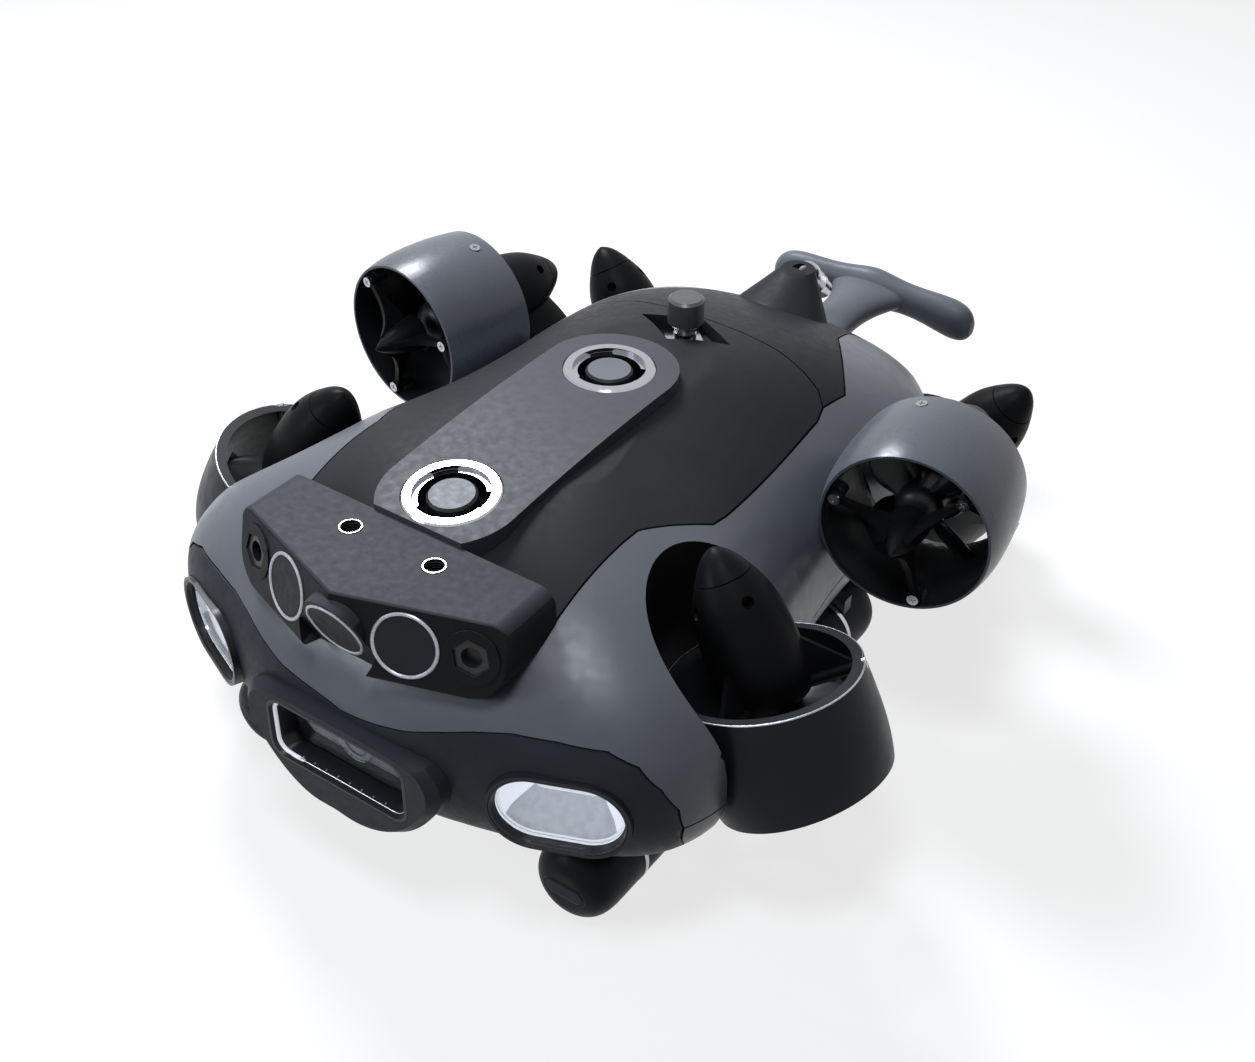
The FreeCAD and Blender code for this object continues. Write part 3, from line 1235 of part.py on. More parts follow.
for thing in doc.Objects:
    if "Invalid" in thing.State or "Error" in thing.State:
        raise RuntimeError(f"{thing.Label} did not compute: {thing.State}")
for thing in published:
    if thing.Shape.isNull() or not thing.Shape.isValid():
        raise RuntimeError(f"{thing.Label} has no valid shape")

os.makedirs("parts", exist_ok=True)
for thing in published:
    thing.Shape.exportStep(os.path.join("parts", thing.Label + ".step"))
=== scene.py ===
"""Looks of the underwater inspection vehicle.

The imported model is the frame. Every moulded or machined piece gets a smooth finished copy of its
solid, and the small details that the solids leave out are modelled here.
"""

from __future__ import annotations

import json
import logging
import math
from dataclasses import dataclass, field
from enum import Enum
from typing import Callable

import bmesh
import bpy
from mathutils import Matrix, Vector
from mathutils.bvhtree import BVHTree

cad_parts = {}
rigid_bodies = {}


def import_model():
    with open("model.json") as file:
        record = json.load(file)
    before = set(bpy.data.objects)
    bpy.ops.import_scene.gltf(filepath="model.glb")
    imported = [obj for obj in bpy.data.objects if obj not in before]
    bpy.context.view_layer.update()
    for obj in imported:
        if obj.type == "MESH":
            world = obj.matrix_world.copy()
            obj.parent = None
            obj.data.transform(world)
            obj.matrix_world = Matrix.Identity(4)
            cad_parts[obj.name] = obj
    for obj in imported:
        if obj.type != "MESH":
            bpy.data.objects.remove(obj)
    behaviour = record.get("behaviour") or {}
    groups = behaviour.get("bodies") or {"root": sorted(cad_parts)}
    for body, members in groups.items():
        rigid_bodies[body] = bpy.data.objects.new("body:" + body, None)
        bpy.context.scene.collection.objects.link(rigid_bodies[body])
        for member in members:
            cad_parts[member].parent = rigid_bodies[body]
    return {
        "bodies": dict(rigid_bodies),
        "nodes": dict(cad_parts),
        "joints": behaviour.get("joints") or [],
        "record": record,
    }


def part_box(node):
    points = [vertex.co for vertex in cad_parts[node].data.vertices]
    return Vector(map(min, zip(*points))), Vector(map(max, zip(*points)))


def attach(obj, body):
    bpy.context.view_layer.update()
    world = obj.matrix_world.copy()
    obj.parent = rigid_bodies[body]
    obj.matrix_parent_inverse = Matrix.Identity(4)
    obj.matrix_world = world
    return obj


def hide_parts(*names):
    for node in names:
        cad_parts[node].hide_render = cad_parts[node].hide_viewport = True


LOG = logging.getLogger("vehicle")
MM = 0.001
HULL_BODY = "hull"
UP = Vector((0, 0, 1))
NOISE_MIDDLE = (0.3, 0.7)
EDGE_POINTINESS = (0.53, 0.62)
BRUSH_STRETCH = 40.0
ROUGH_PATCH_GRAINS = 6
BUMP_STRENGTH = 0.6
WELD_GAP = 1e-6
SLIVER = 1e-7
ROW_SHARP = 40
PAD_SHARP = 50


# --- finishes -------------------------------------------------------------------------------

class Grain(Enum):
    """Small-scale surface pattern of a finish."""

    SMOOTH = "smooth"
    SPARK = "spark"
    ORANGE_PEEL = "orange peel"
    BRUSHED = "brushed"


@dataclass(frozen=True)
class Finish:
    """A procedural surface: colour with slow variation, roughness with fine variation, grain."""

    name: str
    colour: tuple[float, float, float]
    roughness: float
    metallic: float = 0.0
    specular: float = 0.5
    grain: Grain = Grain.SMOOTH
    grain_size: float = 0.4 * MM
    grain_depth: float = 0.02 * MM
    mottle: float = 0.12
    mottle_size: float = 30 * MM
    rubbed: float = 0.0
    glow: float = 0.0

    def material(self) -> bpy.types.Material:
        """Build the finish once, and return the same material afterwards.

        Returns:
            The node material.
        """
        title = f"finish_{self.name}"
        found = bpy.data.materials.get(title)
        if found:
            return found
        made = bpy.data.materials.new(title)
        made.use_nodes = True
        tree = made.node_tree
        tree.nodes.clear()
        shader = tree.nodes.new("ShaderNodeBsdfPrincipled")
        output = tree.nodes.new("ShaderNodeOutputMaterial")
        tree.links.new(shader.outputs["BSDF"], output.inputs["Surface"])
        where = tree.nodes.new("ShaderNodeTexCoord").outputs["Object"]
        shader.inputs["Metallic"].default_value = self.metallic
        shader.inputs["Specular IOR Level"].default_value = self.specular
        tree.links.new(self._colour(tree, where), shader.inputs["Base Color"])
        tree.links.new(self._roughness(tree, where), shader.inputs["Roughness"])
        if self.grain is not Grain.SMOOTH:
            tree.links.new(self._bump(tree, where), shader.inputs["Normal"])
        if self.glow:
            shader.inputs["Emission Color"].default_value = (*self.colour, 1)
            shader.inputs["Emission Strength"].default_value = self.glow
        return made

    def _noise(self, tree: bpy.types.NodeTree, where: bpy.types.NodeSocket, size: float,
               detail: float = 2.0, stretch: float = 1.0) -> bpy.types.NodeSocket:
        """Add a noise pattern.

        Args:
            tree: The material's node tree.
            where: Coordinates that the pattern follows.
            size: Feature size in metres.
            detail: Octaves of the noise.
            stretch: How much longer the features are along X.

        Returns:
            The pattern's value socket, about 0.5 on average.
        """
        shape = tree.nodes.new("ShaderNodeMapping")
        shape.inputs["Scale"].default_value = (1 / stretch, 1, 1)
        tree.links.new(where, shape.inputs["Vector"])
        noise = tree.nodes.new("ShaderNodeTexNoise")
        noise.inputs["Scale"].default_value = 1 / size
        noise.inputs["Detail"].default_value = detail
        tree.links.new(shape.outputs["Vector"], noise.inputs["Vector"])
        return noise.outputs["Fac"]

    def _ranged(self, tree: bpy.types.NodeTree, value: bpy.types.NodeSocket,
                low: float, high: float) -> bpy.types.NodeSocket:
        """Map the middle of a noise pattern to a range.

        Args:
            tree: The material's node tree.
            value: The pattern.
            low: Value where the pattern is low.
            high: Value where the pattern is high.

        Returns:
            The mapped value's socket.
        """
        scaled = tree.nodes.new("ShaderNodeMapRange")
        scaled.inputs["From Min"].default_value = NOISE_MIDDLE[0]
        scaled.inputs["From Max"].default_value = NOISE_MIDDLE[1]
        scaled.inputs["To Min"].default_value = low
        scaled.inputs["To Max"].default_value = high
        tree.links.new(value, scaled.inputs["Value"])
        return scaled.outputs["Result"]

    def _colour(self, tree: bpy.types.NodeTree,
                where: bpy.types.NodeSocket) -> bpy.types.NodeSocket:
        """Colour with slow mottling, and rubbed edges where the finish has them."""
        mix = tree.nodes.new("ShaderNodeMix")
        mix.data_type = "RGBA"
        darker = tuple(c * (1 - self.mottle) for c in self.colour)
        lighter = tuple(min(1.0, c * (1 + self.mottle)) for c in self.colour)
        mix.inputs["A"].default_value = (*darker, 1)
        mix.inputs["B"].default_value = (*lighter, 1)
        slow = self._ranged(tree, self._noise(tree, where, self.mottle_size, 3.0), 0, 1)
        tree.links.new(slow, mix.inputs["Factor"])
        if not self.rubbed:
            return mix.outputs["Result"]
        edge = tree.nodes.new("ShaderNodeNewGeometry").outputs["Pointiness"]
        raised = tree.nodes.new("ShaderNodeMapRange")
        raised.inputs["From Min"].default_value = EDGE_POINTINESS[0]
        raised.inputs["From Max"].default_value = EDGE_POINTINESS[1]
        raised.inputs["To Max"].default_value = self.rubbed
        tree.links.new(edge, raised.inputs["Value"])
        worn = tree.nodes.new("ShaderNodeMix")
        worn.data_type = "RGBA"
        worn.inputs["B"].default_value = (*(min(1.0, c * 2.2 + 0.02) for c in self.colour), 1)
        tree.links.new(raised.outputs["Result"], worn.inputs["Factor"])
        tree.links.new(mix.outputs["Result"], worn.inputs["A"])
        return worn.outputs["Result"]

    def _roughness(self, tree: bpy.types.NodeTree,
                   where: bpy.types.NodeSocket) -> bpy.types.NodeSocket:
        """Roughness that varies a little from place to place."""
        stretch = BRUSH_STRETCH if self.grain is Grain.BRUSHED else 1.0
        fine = self._noise(tree, where, self.grain_size * ROUGH_PATCH_GRAINS, 4.0, stretch)
        spread = 0.12 * self.roughness + 0.01
        return self._ranged(tree, fine, max(0.02, self.roughness - spread),
                            min(1.0, self.roughness + spread))

    def _bump(self, tree: bpy.types.NodeTree,
              where: bpy.types.NodeSocket) -> bpy.types.NodeSocket:
        """Normal of the fine grain."""
        stretch = BRUSH_STRETCH if self.grain is Grain.BRUSHED else 1.0
        if self.grain is Grain.SPARK:
            cells = tree.nodes.new("ShaderNodeTexVoronoi")
            cells.inputs["Scale"].default_value = 1 / self.grain_size
            tree.links.new(where, cells.inputs["Vector"])
            height = cells.outputs["Distance"]
        else:
            height = self._noise(tree, where, self.grain_size, 2.0, stretch)
        bump = tree.nodes.new("ShaderNodeBump")
        bump.inputs["Strength"].default_value = BUMP_STRENGTH
        bump.inputs["Distance"].default_value = self.grain_depth
        tree.links.new(height, bump.inputs["Height"])
        return bump.outputs["Normal"]


@dataclass(frozen=True)
class ClearPane:
    """Clear glass or acrylic with a faint tint."""

    name: str
    tint: tuple[float, float, float] = (0.93, 0.96, 0.98)
    roughness: float = 0.02
    ior: float = 1.46
    smudge_scale: float = 60.0

    def material(self) -> bpy.types.Material:
        """Build the pane's material once and return it."""
        title = f"finish_{self.name}"
        found = bpy.data.materials.get(title)
        if found:
            return found
        made = bpy.data.materials.new(title)
        made.use_nodes = True
        shader = made.node_tree.nodes["Principled BSDF"]
        shader.inputs["Transmission Weight"].default_value = 1.0
        shader.inputs["IOR"].default_value = self.ior
        shader.inputs["Base Color"].default_value = (*self.tint, 1)
        tree = made.node_tree
        where = tree.nodes.new("ShaderNodeTexCoord").outputs["Object"]
        smudge = tree.nodes.new("ShaderNodeTexNoise")
        smudge.inputs["Scale"].default_value = self.smudge_scale
        tree.links.new(where, smudge.inputs["Vector"])
        scaled = tree.nodes.new("ShaderNodeMapRange")
        scaled.inputs["To Min"].default_value = self.roughness * 0.5
        scaled.inputs["To Max"].default_value = self.roughness * 2.0
        tree.links.new(smudge.outputs["Fac"], scaled.inputs["Value"])
        tree.links.new(scaled.outputs["Result"], shader.inputs["Roughness"])
        return made


SATIN_SHELL = Finish("satin_gunmetal_shell", (0.115, 0.123, 0.145), 0.34, metallic=0.04,
                     specular=0.32, grain=Grain.ORANGE_PEEL, grain_size=0.9 * MM,
                     grain_depth=0.01 * MM, mottle=0.05)
DECK_PANEL = Finish("deck_charcoal", (0.024, 0.025, 0.028), 0.5, grain=Grain.SPARK,
                    grain_size=0.7 * MM, specular=0.06, mottle=0.08)
TAIL_PANEL = Finish("tail_charcoal", (0.022, 0.024, 0.028), 0.45, specular=0.05,
                    grain=Grain.SPARK, grain_size=0.7 * MM, mottle=0.06)
HANDLE_GREY = Finish("handle_grey", (0.12, 0.13, 0.15), 0.42, specular=0.18, mottle=0.06,
                     grain=Grain.ORANGE_PEEL)
FASCIA_BLACK = Finish("fascia_black", (0.024, 0.028, 0.034), 0.5, grain=Grain.SPARK,
                      grain_size=0.8 * MM, specular=0.12)
PLATE_GREY = Finish("plate_mid_grey", (0.058, 0.061, 0.07), 0.5, specular=0.14,
                    grain=Grain.SPARK, grain_size=0.6 * MM, mottle=0.05)
BAR_GREY = Finish("bar_grey", (0.046, 0.049, 0.057), 0.5, specular=0.06, grain=Grain.SPARK,
                  grain_size=0.6 * MM, mottle=0.05)
# Near-black painted shade for the tool bar's faces that look ahead and below.
BAR_PAINTED_SHADE = Finish("bar_painted_shade", (0.009, 0.0095, 0.011), 0.46, specular=0.08, grain=Grain.SPARK,
                  grain_size=0.6 * MM, mottle=0.05)
DUCT_SATIN = Finish("duct_satin", (0.095, 0.104, 0.125), 0.3, metallic=0.05, specular=0.3,
                    mottle=0.05)
DUCT_BORE = Finish("duct_bore", (0.012, 0.0145, 0.018), 0.42, specular=0.08,
                   grain=Grain.ORANGE_PEEL)
DUCT_DARK = Finish("duct_dark", (0.014, 0.016, 0.02), 0.38, specular=0.12, grain=Grain.ORANGE_PEEL,
                   grain_size=0.9 * MM, grain_depth=0.01 * MM)
# Pale painted highlight for the edge of a front duct's pod-side rim.
RIM_PAINTED_HIGHLIGHT = Finish("rim_painted_highlight", (0.42, 0.44, 0.48), 0.3, metallic=0.6, specular=0.4)
POD_BLACK = Finish("pod_black", (0.006, 0.0064, 0.0075), 0.42, specular=0.05,
                   grain=Grain.ORANGE_PEEL, grain_size=0.8 * MM, grain_depth=0.012 * MM)
# Near-black painted shade for the walls of the thruster wells.
WELL_PAINTED_SHADE = Finish("well_painted_shade", (0.005, 0.0053, 0.006), 0.5, specular=0.04,
                    grain=Grain.ORANGE_PEEL)
BLADE_GREY = Finish("blade_grey", (0.024, 0.027, 0.031), 0.34, specular=0.2, mottle=0.15)
TUBE_GREY = Finish("tube_grey", (0.009, 0.011, 0.014), 0.42, specular=0.08, grain=Grain.SPARK,
                   grain_size=0.7 * MM)
TUBE_PAD = Finish("tube_pad", (0.03, 0.036, 0.044), 0.5, specular=0.1, grain=Grain.SPARK)
KNOB_BLACK = Finish("knob_grey", (0.05, 0.052, 0.056), 0.35, specular=0.6, rubbed=0.15)
SONAR_BLACK = Finish("sonar_black", (0.022, 0.023, 0.026), 0.55, specular=0.12,
                     grain=Grain.SPARK, grain_size=0.5 * MM)
SONAR_RIM = Finish("sonar_rim", (0.42, 0.43, 0.47), 0.34, metallic=0.6, mottle=0.2,
                   mottle_size=0.8 * MM)
CHROME = Finish("polished_chrome", (0.42, 0.43, 0.46), 0.16, metallic=1.0, mottle=0.03)
SATIN_STEEL = Finish("satin_steel", (0.45, 0.46, 0.49), 0.28, metallic=1.0,
                     grain=Grain.BRUSHED, mottle=0.06)
PLUG_GREY = Finish("plug_grey", (0.13, 0.137, 0.16), 0.45, specular=0.2, grain=Grain.SPARK,
                   grain_size=0.5 * MM)
PLUG_DARK = Finish("plug_dark", (0.016, 0.017, 0.02), 0.45, specular=0.2)
BOLT_DARK = Finish("bolt_dark", (0.014, 0.0145, 0.017), 0.36, specular=0.3, rubbed=0.35)
BEZEL_BLACK = Finish("bezel_black", (0.018, 0.02, 0.024), 0.32, specular=0.2, mottle=0.05)
# The reflector's glow is painted lamp light, and it is also used for a painted highlight in the
# camera window.
REFLECTOR_PAINTED_LIGHT = Finish("lamp_reflector", (0.78, 0.81, 0.87), 0.25, mottle=0.03, glow=0.5)
EMITTER = Finish("lamp_emitter", (0.72, 0.74, 0.8), 0.5, mottle=0.12, mottle_size=2 * MM, glow=0.35)
# Painted shade: the reflector's upward-facing walls, grey and without the glow.
LAMP_FLOOR_PAINTED_SHADE = Finish("lamp_floor_painted_shade", (0.6, 0.62, 0.67), 0.35, mottle=0.1, mottle_size=3 * MM)
LEDGE_LINE = Finish("ledge_line", (0.45, 0.46, 0.5), 0.4, specular=0.3)
CAMERA_GREY = Finish("camera_grey", (0.26, 0.265, 0.285), 0.4, specular=0.3)
CAMERA_BLACK = Finish("camera_black", (0.012, 0.0125, 0.014), 0.4, specular=0.25)
BOARD_GREEN = Finish("board_green", (0.02, 0.12, 0.05), 0.35, mottle=0.2, mottle_size=6 * MM)
HOUSING = Finish("anodised_housing", (0.5, 0.52, 0.55), 0.35, metallic=0.9, grain=Grain.BRUSHED)
CHASSIS_BLACK = Finish("chassis_black", (0.02, 0.02, 0.02), 0.55, specular=0.15, grain=Grain.SPARK)
RUBBER = Finish("rest_rubber", (0.016, 0.016, 0.016), 0.8, specular=0.15, grain=Grain.SPARK,
                grain_depth=0.05 * MM)
PACK_WRAP = Finish("pack_wrap", (0.12, 0.13, 0.16), 0.4, mottle=0.15)
CLEAR = ClearPane("clear_pane")


# --- mesh craft -----------------------------------------------------------------------------

class Craft:
    """Mesh helpers shared by the sub-assemblies."""

    @staticmethod
    def box(node: str) -> tuple[Vector, Vector]:
        """Lowest and highest corner of a solid at rest."""
        low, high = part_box(node)
        return Vector(low), Vector(high)

    @staticmethod
    def settle(name: str, mesh: bpy.types.Mesh, finish: Finish | ClearPane,
               body: str = HULL_BODY, slot: str = "") -> bpy.types.Object:
        """Turn a mesh into a piece of the vehicle.

        Args:
            name: The piece's name.
            mesh: Its mesh, already in place.
            finish: What it is finished in.
            body: The body that it rides on.
            slot: The record's material slot, where it is not a solid's own; not used.

        Returns:
            The new object.
        """
        piece = bpy.data.objects.new(name, mesh)
        bpy.context.scene.collection.objects.link(piece)
        mesh.materials.clear()
        mesh.materials.append(finish.material())
        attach(piece, body)
        return piece

    @staticmethod
    def smooth(mesh: bpy.types.Mesh, sharp_degrees: float) -> None:
        """Shade a mesh smooth, apart from its sharp edges.

        Args:
            mesh: The mesh to shade.
            sharp_degrees: Angle from which an edge counts as sharp.
        """
        limit = math.radians(sharp_degrees)
        work = bmesh.new()
        work.from_mesh(mesh)
        for face in work.faces:
            face.smooth = True
        for edge in work.edges:
            flat = len(edge.link_faces) == 2 and edge.calc_face_angle(0) < limit
            edge.smooth = flat
        work.to_mesh(mesh)
        work.free()

    @staticmethod
    def plane_of(axis: Vector) -> tuple[Vector, Vector]:
        """Two directions at right angles to an axis and to each other."""
        across = axis.orthogonal().normalized()
        return across, axis.normalized().cross(across)

    @staticmethod
    def circle(middle: Vector, axis: Vector, radius: float, count: int = 48) -> list[Vector]:
        """Points of a circle round an axis."""
        across, upward = Craft.plane_of(axis)
        return [middle + radius * (math.cos(math.tau * i / count) * across
                                   + math.sin(math.tau * i / count) * upward)
                for i in range(count)]

    @staticmethod
    def hoop(name: str, middle: Vector, axis: Vector, radius: float, thick: float,
             count: int = 40, sides: int = 8) -> bpy.types.Mesh:
        """Make a round hoop about an axis.

        Args:
            name: The mesh's name.
            middle: Centre of the hoop.
            axis: Axis of the hoop.
            radius: Radius of its centre line.
            thick: Radius of its wire.
            count: Sections along the hoop.
            sides: Sides of the wire.

        Returns:
            The mesh.
        """
        points, faces = [], []
        for spot in Craft.circle(middle, axis, radius, count):
            out = (spot - middle).normalized()
            for side in range(sides):
                angle = math.tau * side / sides
                points.append(spot + thick * (math.cos(angle) * out
                                              + math.sin(angle) * axis.normalized()))
        for i in range(count):
            for j in range(sides):
                nexti, nextj = (i + 1) % count, (j + 1) % sides
                faces.append((i * sides + j, nexti * sides + j,
                              nexti * sides + nextj, i * sides + nextj))
        mesh = bpy.data.meshes.new(name)
        mesh.from_pydata(points, [], faces)
        return mesh

    @staticmethod
    def brick(name: str, middle: Vector, size: Vector) -> bpy.types.Mesh:
        """Mesh of a small upright block."""
        work = bmesh.new()
        bmesh.ops.create_cube(work, size=1.0,
                              matrix=Matrix.Translation(middle) @ Matrix.Diagonal((*size, 1)))
        mesh = bpy.data.meshes.new(name)
        work.to_mesh(mesh)
        work.free()
        return mesh

    @staticmethod
    def applied(piece: bpy.types.Object) -> None:
        """Bake a piece's modifiers into its mesh and remove them."""
        graph = bpy.context.evaluated_depsgraph_get()
        finished = bpy.data.meshes.new_from_object(piece.evaluated_get(graph))
        old = piece.data
        piece.modifiers.clear()
        piece.data = finished
        bpy.data.meshes.remove(old)


class Probe:
    """Rays cast against some solids at rest."""

    def __init__(self, *nodes: str) -> None:
        """Gather the solids' faces.

        Args:
            nodes: Names of the solids.
        """
        points: list[Vector] = []
        faces: list[list[int]] = []
        for node in nodes:
            solid = frame["nodes"][node]
            start = len(points)
            points += [solid.matrix_world @ vertex.co for vertex in solid.data.vertices]
            faces += [[start + corner for corner in face.vertices] for face in solid.data.polygons]
        self.tree = BVHTree.FromPolygons(points, faces)

    def hit(self, start: Vector, way: Vector, reach: float = 0.15) -> Vector | None:
        """Point where a ray first meets the solids, or nothing within its reach."""
        return self.tree.ray_cast(start, way.normalized(), reach)[0]

    def loop(self, middle: Vector, across: Vector, upward: Vector, count: int,
             outside: float = 0.0, lift: float = 0.0) -> list[Vector]:
        """Points round a middle where rays in a plane meet the solids.

        Args:
            middle: Centre of the rays.
            across: Plane direction at angle zero.
            upward: Plane direction at a quarter turn.
            count: Number of rays.
            outside: Distance from which the rays come inwards; zero sends them outwards.
            lift: How far each point is moved back along its ray.

        Returns:
            The points in order, without the rays that met nothing.
        """
        points = []
        for step in range(count):
            angle = math.tau * step / count
            way = math.cos(angle) * across + math.sin(angle) * upward
            start = middle + way * outside
            ray = -way if outside else way
            met = self.hit(start, ray)
            if met:
                points.append(met - ray * lift)
        return points


class Growth:
    """Geometry node trees that grow a mesh, and the way they are applied."""

    @staticmethod
    def group(name: str, sockets: dict[str, str]) -> bpy.types.NodeTree | None:
        """Start a node tree with named inputs, or return nothing where it already exists.

        Args:
            name: The tree's name.
            sockets: Socket type of each input besides the geometry.

        Returns:
            The new tree with its input and output nodes, or nothing.
        """
        if bpy.data.node_groups.get(name):
            return None
        tree = bpy.data.node_groups.new(name, "GeometryNodeTree")
        face = tree.interface
        face.new_socket("Geometry", in_out="INPUT", socket_type="NodeSocketGeometry")
        for label, kind in sockets.items():
            face.new_socket(label, in_out="INPUT", socket_type=kind)
        face.new_socket("Geometry", in_out="OUTPUT", socket_type="NodeSocketGeometry")
        tree.nodes.new("NodeGroupInput").name = "given"
        tree.nodes.new("NodeGroupOutput").name = "made"
        return tree

    @staticmethod
    def closing(tree: bpy.types.NodeTree, shape: bpy.types.NodeSocket) -> None:
        """Realize the instances, set the material and link the result to the output."""
        real = tree.nodes.new("GeometryNodeRealizeInstances")
        paint = tree.nodes.new("GeometryNodeSetMaterial")
        tree.links.new(shape, real.inputs[0])
        tree.links.new(real.outputs[0], paint.inputs["Geometry"])
        tree.links.new(tree.nodes["given"].outputs["Material"], paint.inputs["Material"])
        tree.links.new(paint.outputs[0], tree.nodes["made"].inputs[0])

    @staticmethod
    def strand() -> bpy.types.NodeTree:
        """Tree that lays a round strand along the edges of a mesh."""
        name = "strand_along_path"
        tree = Growth.group(name, {"Radius": "NodeSocketFloat", "Sides": "NodeSocketInt",
                                   "Material": "NodeSocketMaterial"})
        if tree is None:
            return bpy.data.node_groups[name]
        given = tree.nodes["given"]
        path = tree.nodes.new("GeometryNodeMeshToCurve")
        circle = tree.nodes.new("GeometryNodeCurvePrimitiveCircle")
        sweep = tree.nodes.new("GeometryNodeCurveToMesh")
        sweep.inputs["Fill Caps"].default_value = True
        tree.links.new(given.outputs["Geometry"], path.inputs[0])
        tree.links.new(given.outputs["Radius"], circle.inputs["Radius"])
        tree.links.new(given.outputs["Sides"], circle.inputs["Resolution"])
        tree.links.new(path.outputs[0], sweep.inputs["Curve"])
        tree.links.new(circle.outputs[0], sweep.inputs["Profile Curve"])
        Growth.closing(tree, sweep.outputs[0])
        return tree

    @staticmethod
    def row() -> bpy.types.NodeTree:
        """Tree that repeats a small part in a straight row."""
        name = "part_in_a_row"
        tree = Growth.group(name, {"Count": "NodeSocketInt", "Step": "NodeSocketVector",
                                   "Material": "NodeSocketMaterial"})
        if tree is None:
            return bpy.data.node_groups[name]
        given = tree.nodes["given"]
        line = tree.nodes.new("GeometryNodeMeshLine")
        copies = tree.nodes.new("GeometryNodeInstanceOnPoints")
        tree.links.new(given.outputs["Count"], line.inputs["Count"])
        tree.links.new(given.outputs["Step"], line.inputs["Offset"])
        tree.links.new(line.outputs[0], copies.inputs["Points"])
        tree.links.new(given.outputs["Geometry"], copies.inputs["Instance"])
        Growth.closing(tree, copies.outputs[0])
        return tree

    @staticmethod
    def grown(name: str, mesh: bpy.types.Mesh, tree: bpy.types.NodeTree,
              given: dict[str, object]) -> bpy.types.Mesh:
        """Run a tree on a mesh and return the plain result.

        Args:
            name: Name of the new mesh.
            mesh: What the tree is given.
            tree: The node tree.
            given: Values of its named inputs.

        Returns:
            A plain mesh with its faces turned outwards.
        """
        holder = bpy.data.objects.new(name + "_growth", mesh)
        bpy.context.scene.collection.objects.link(holder)
        change = holder.modifiers.new("growth", "NODES")
        change.node_group = tree
        keys = {item.name: item.identifier for item in tree.interface.items_tree
                if item.item_type == "SOCKET" and item.in_out == "INPUT"}
        for label, value in given.items():
            change[keys[label]] = value
        graph = bpy.context.evaluated_depsgraph_get()
        made = bpy.data.meshes.new_from_object(holder.evaluated_get(graph))
        bpy.data.objects.remove(holder)
        bpy.data.meshes.remove(mesh)
        made.name = name
        work = bmesh.new()
        work.from_mesh(made)
        bmesh.ops.recalc_face_normals(work, faces=work.faces)
        for face in work.faces:
            face.smooth = True
        work.to_mesh(made)
        work.free()
        return made


@dataclass(frozen=True)
class Strand:
    """A thin round strand along a path."""

    name: str
    points: list[Vector]
    radius: float
    finish: Finish
    slot: str
    closed: bool = True
    body: str = HULL_BODY
    sides: int = 10

    def build(self) -> bpy.types.Object:
        """Grow the strand and settle it on its body."""
        count = len(self.points)
        last = count if self.closed else count - 1
        mesh = bpy.data.meshes.new(self.name + "_path")
        mesh.from_pydata(self.points, [(i, (i + 1) % count) for i in range(last)], [])
        made = Growth.grown(self.name, mesh, Growth.strand(),
                            {"Radius": self.radius, "Sides": self.sides,
                             "Material": self.finish.material()})
        return Craft.settle(self.name, made, self.finish, self.body, self.slot)


@dataclass(frozen=True)
class Row:
    """A small part repeated in a straight row."""

    name: str
    part: bpy.types.Mesh
    count: int
    step: Vector
    finish: Finish
    slot: str
    body: str = HULL_BODY

    def build(self) -> bpy.types.Object:
        """Grow the row and settle it on its body."""
        made = Growth.grown(self.name, self.part, Growth.row(),
                            {"Count": self.count, "Step": self.step,
                             "Material": self.finish.material()})
        Craft.smooth(made, ROW_SHARP)
        return Craft.settle(self.name, made, self.finish, self.body, self.slot)


@dataclass
class Dressed:
    """A solid's finished copy: welded, smoothly shaded and given its finish.

    The faces that inner_test picks get the inner finish. A ceiling flattens what rises above it.
    """

    node: str
    finish: Finish | ClearPane
    sharp: float = 32.0
    inner: Finish | None = None
    inner_test: Callable[[Vector, Vector], bool] | None = None
    ceiling: float | None = None

    def build(self) -> bpy.types.Object:
        """Make the copy, hide the solid behind it, and return the copy."""
        solid = frame["nodes"][self.node]
        work = bmesh.new()
        work.from_mesh(solid.data)
        bmesh.ops.remove_doubles(work, verts=work.verts, dist=WELD_GAP)
        if self.ceiling is not None:
            for vertex in work.verts:
                vertex.co.z = min(vertex.co.z, self.ceiling)
        bmesh.ops.dissolve_degenerate(work, edges=work.edges, dist=SLIVER)
        mesh = bpy.data.meshes.new(self.node + "_finished")
        work.to_mesh(mesh)
        work.free()
        Craft.smooth(mesh, self.sharp)
        piece = bpy.data.objects.new(self.node + "_finished", mesh)
        bpy.context.scene.collection.objects.link(piece)
        weigh = piece.modifiers.new("weigh", "WEIGHTED_NORMAL")
        weigh.keep_sharp = True
        weigh.weight = 100
        Craft.applied(piece)
        mesh = piece.data
        mesh.materials.clear()
        mesh.materials.append(self.finish.material())
        if self.inner and self.inner_test:
            mesh.materials.append(self.inner.material())
            for face in mesh.polygons:
                if self.inner_test(face.center, face.normal):
                    face.material_index = 1
        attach(piece, body_of(self.node))
        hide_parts(self.node)
        return piece


def body_of(node: str) -> str:
    """Name of the body that a node belongs to."""
    bodies = frame["record"]["behaviour"]["bodies"]
    return next(body for body, nodes in bodies.items() if node in nodes)


frame: dict = {}


# --- sub-assemblies -------------------------------------------------------------------------

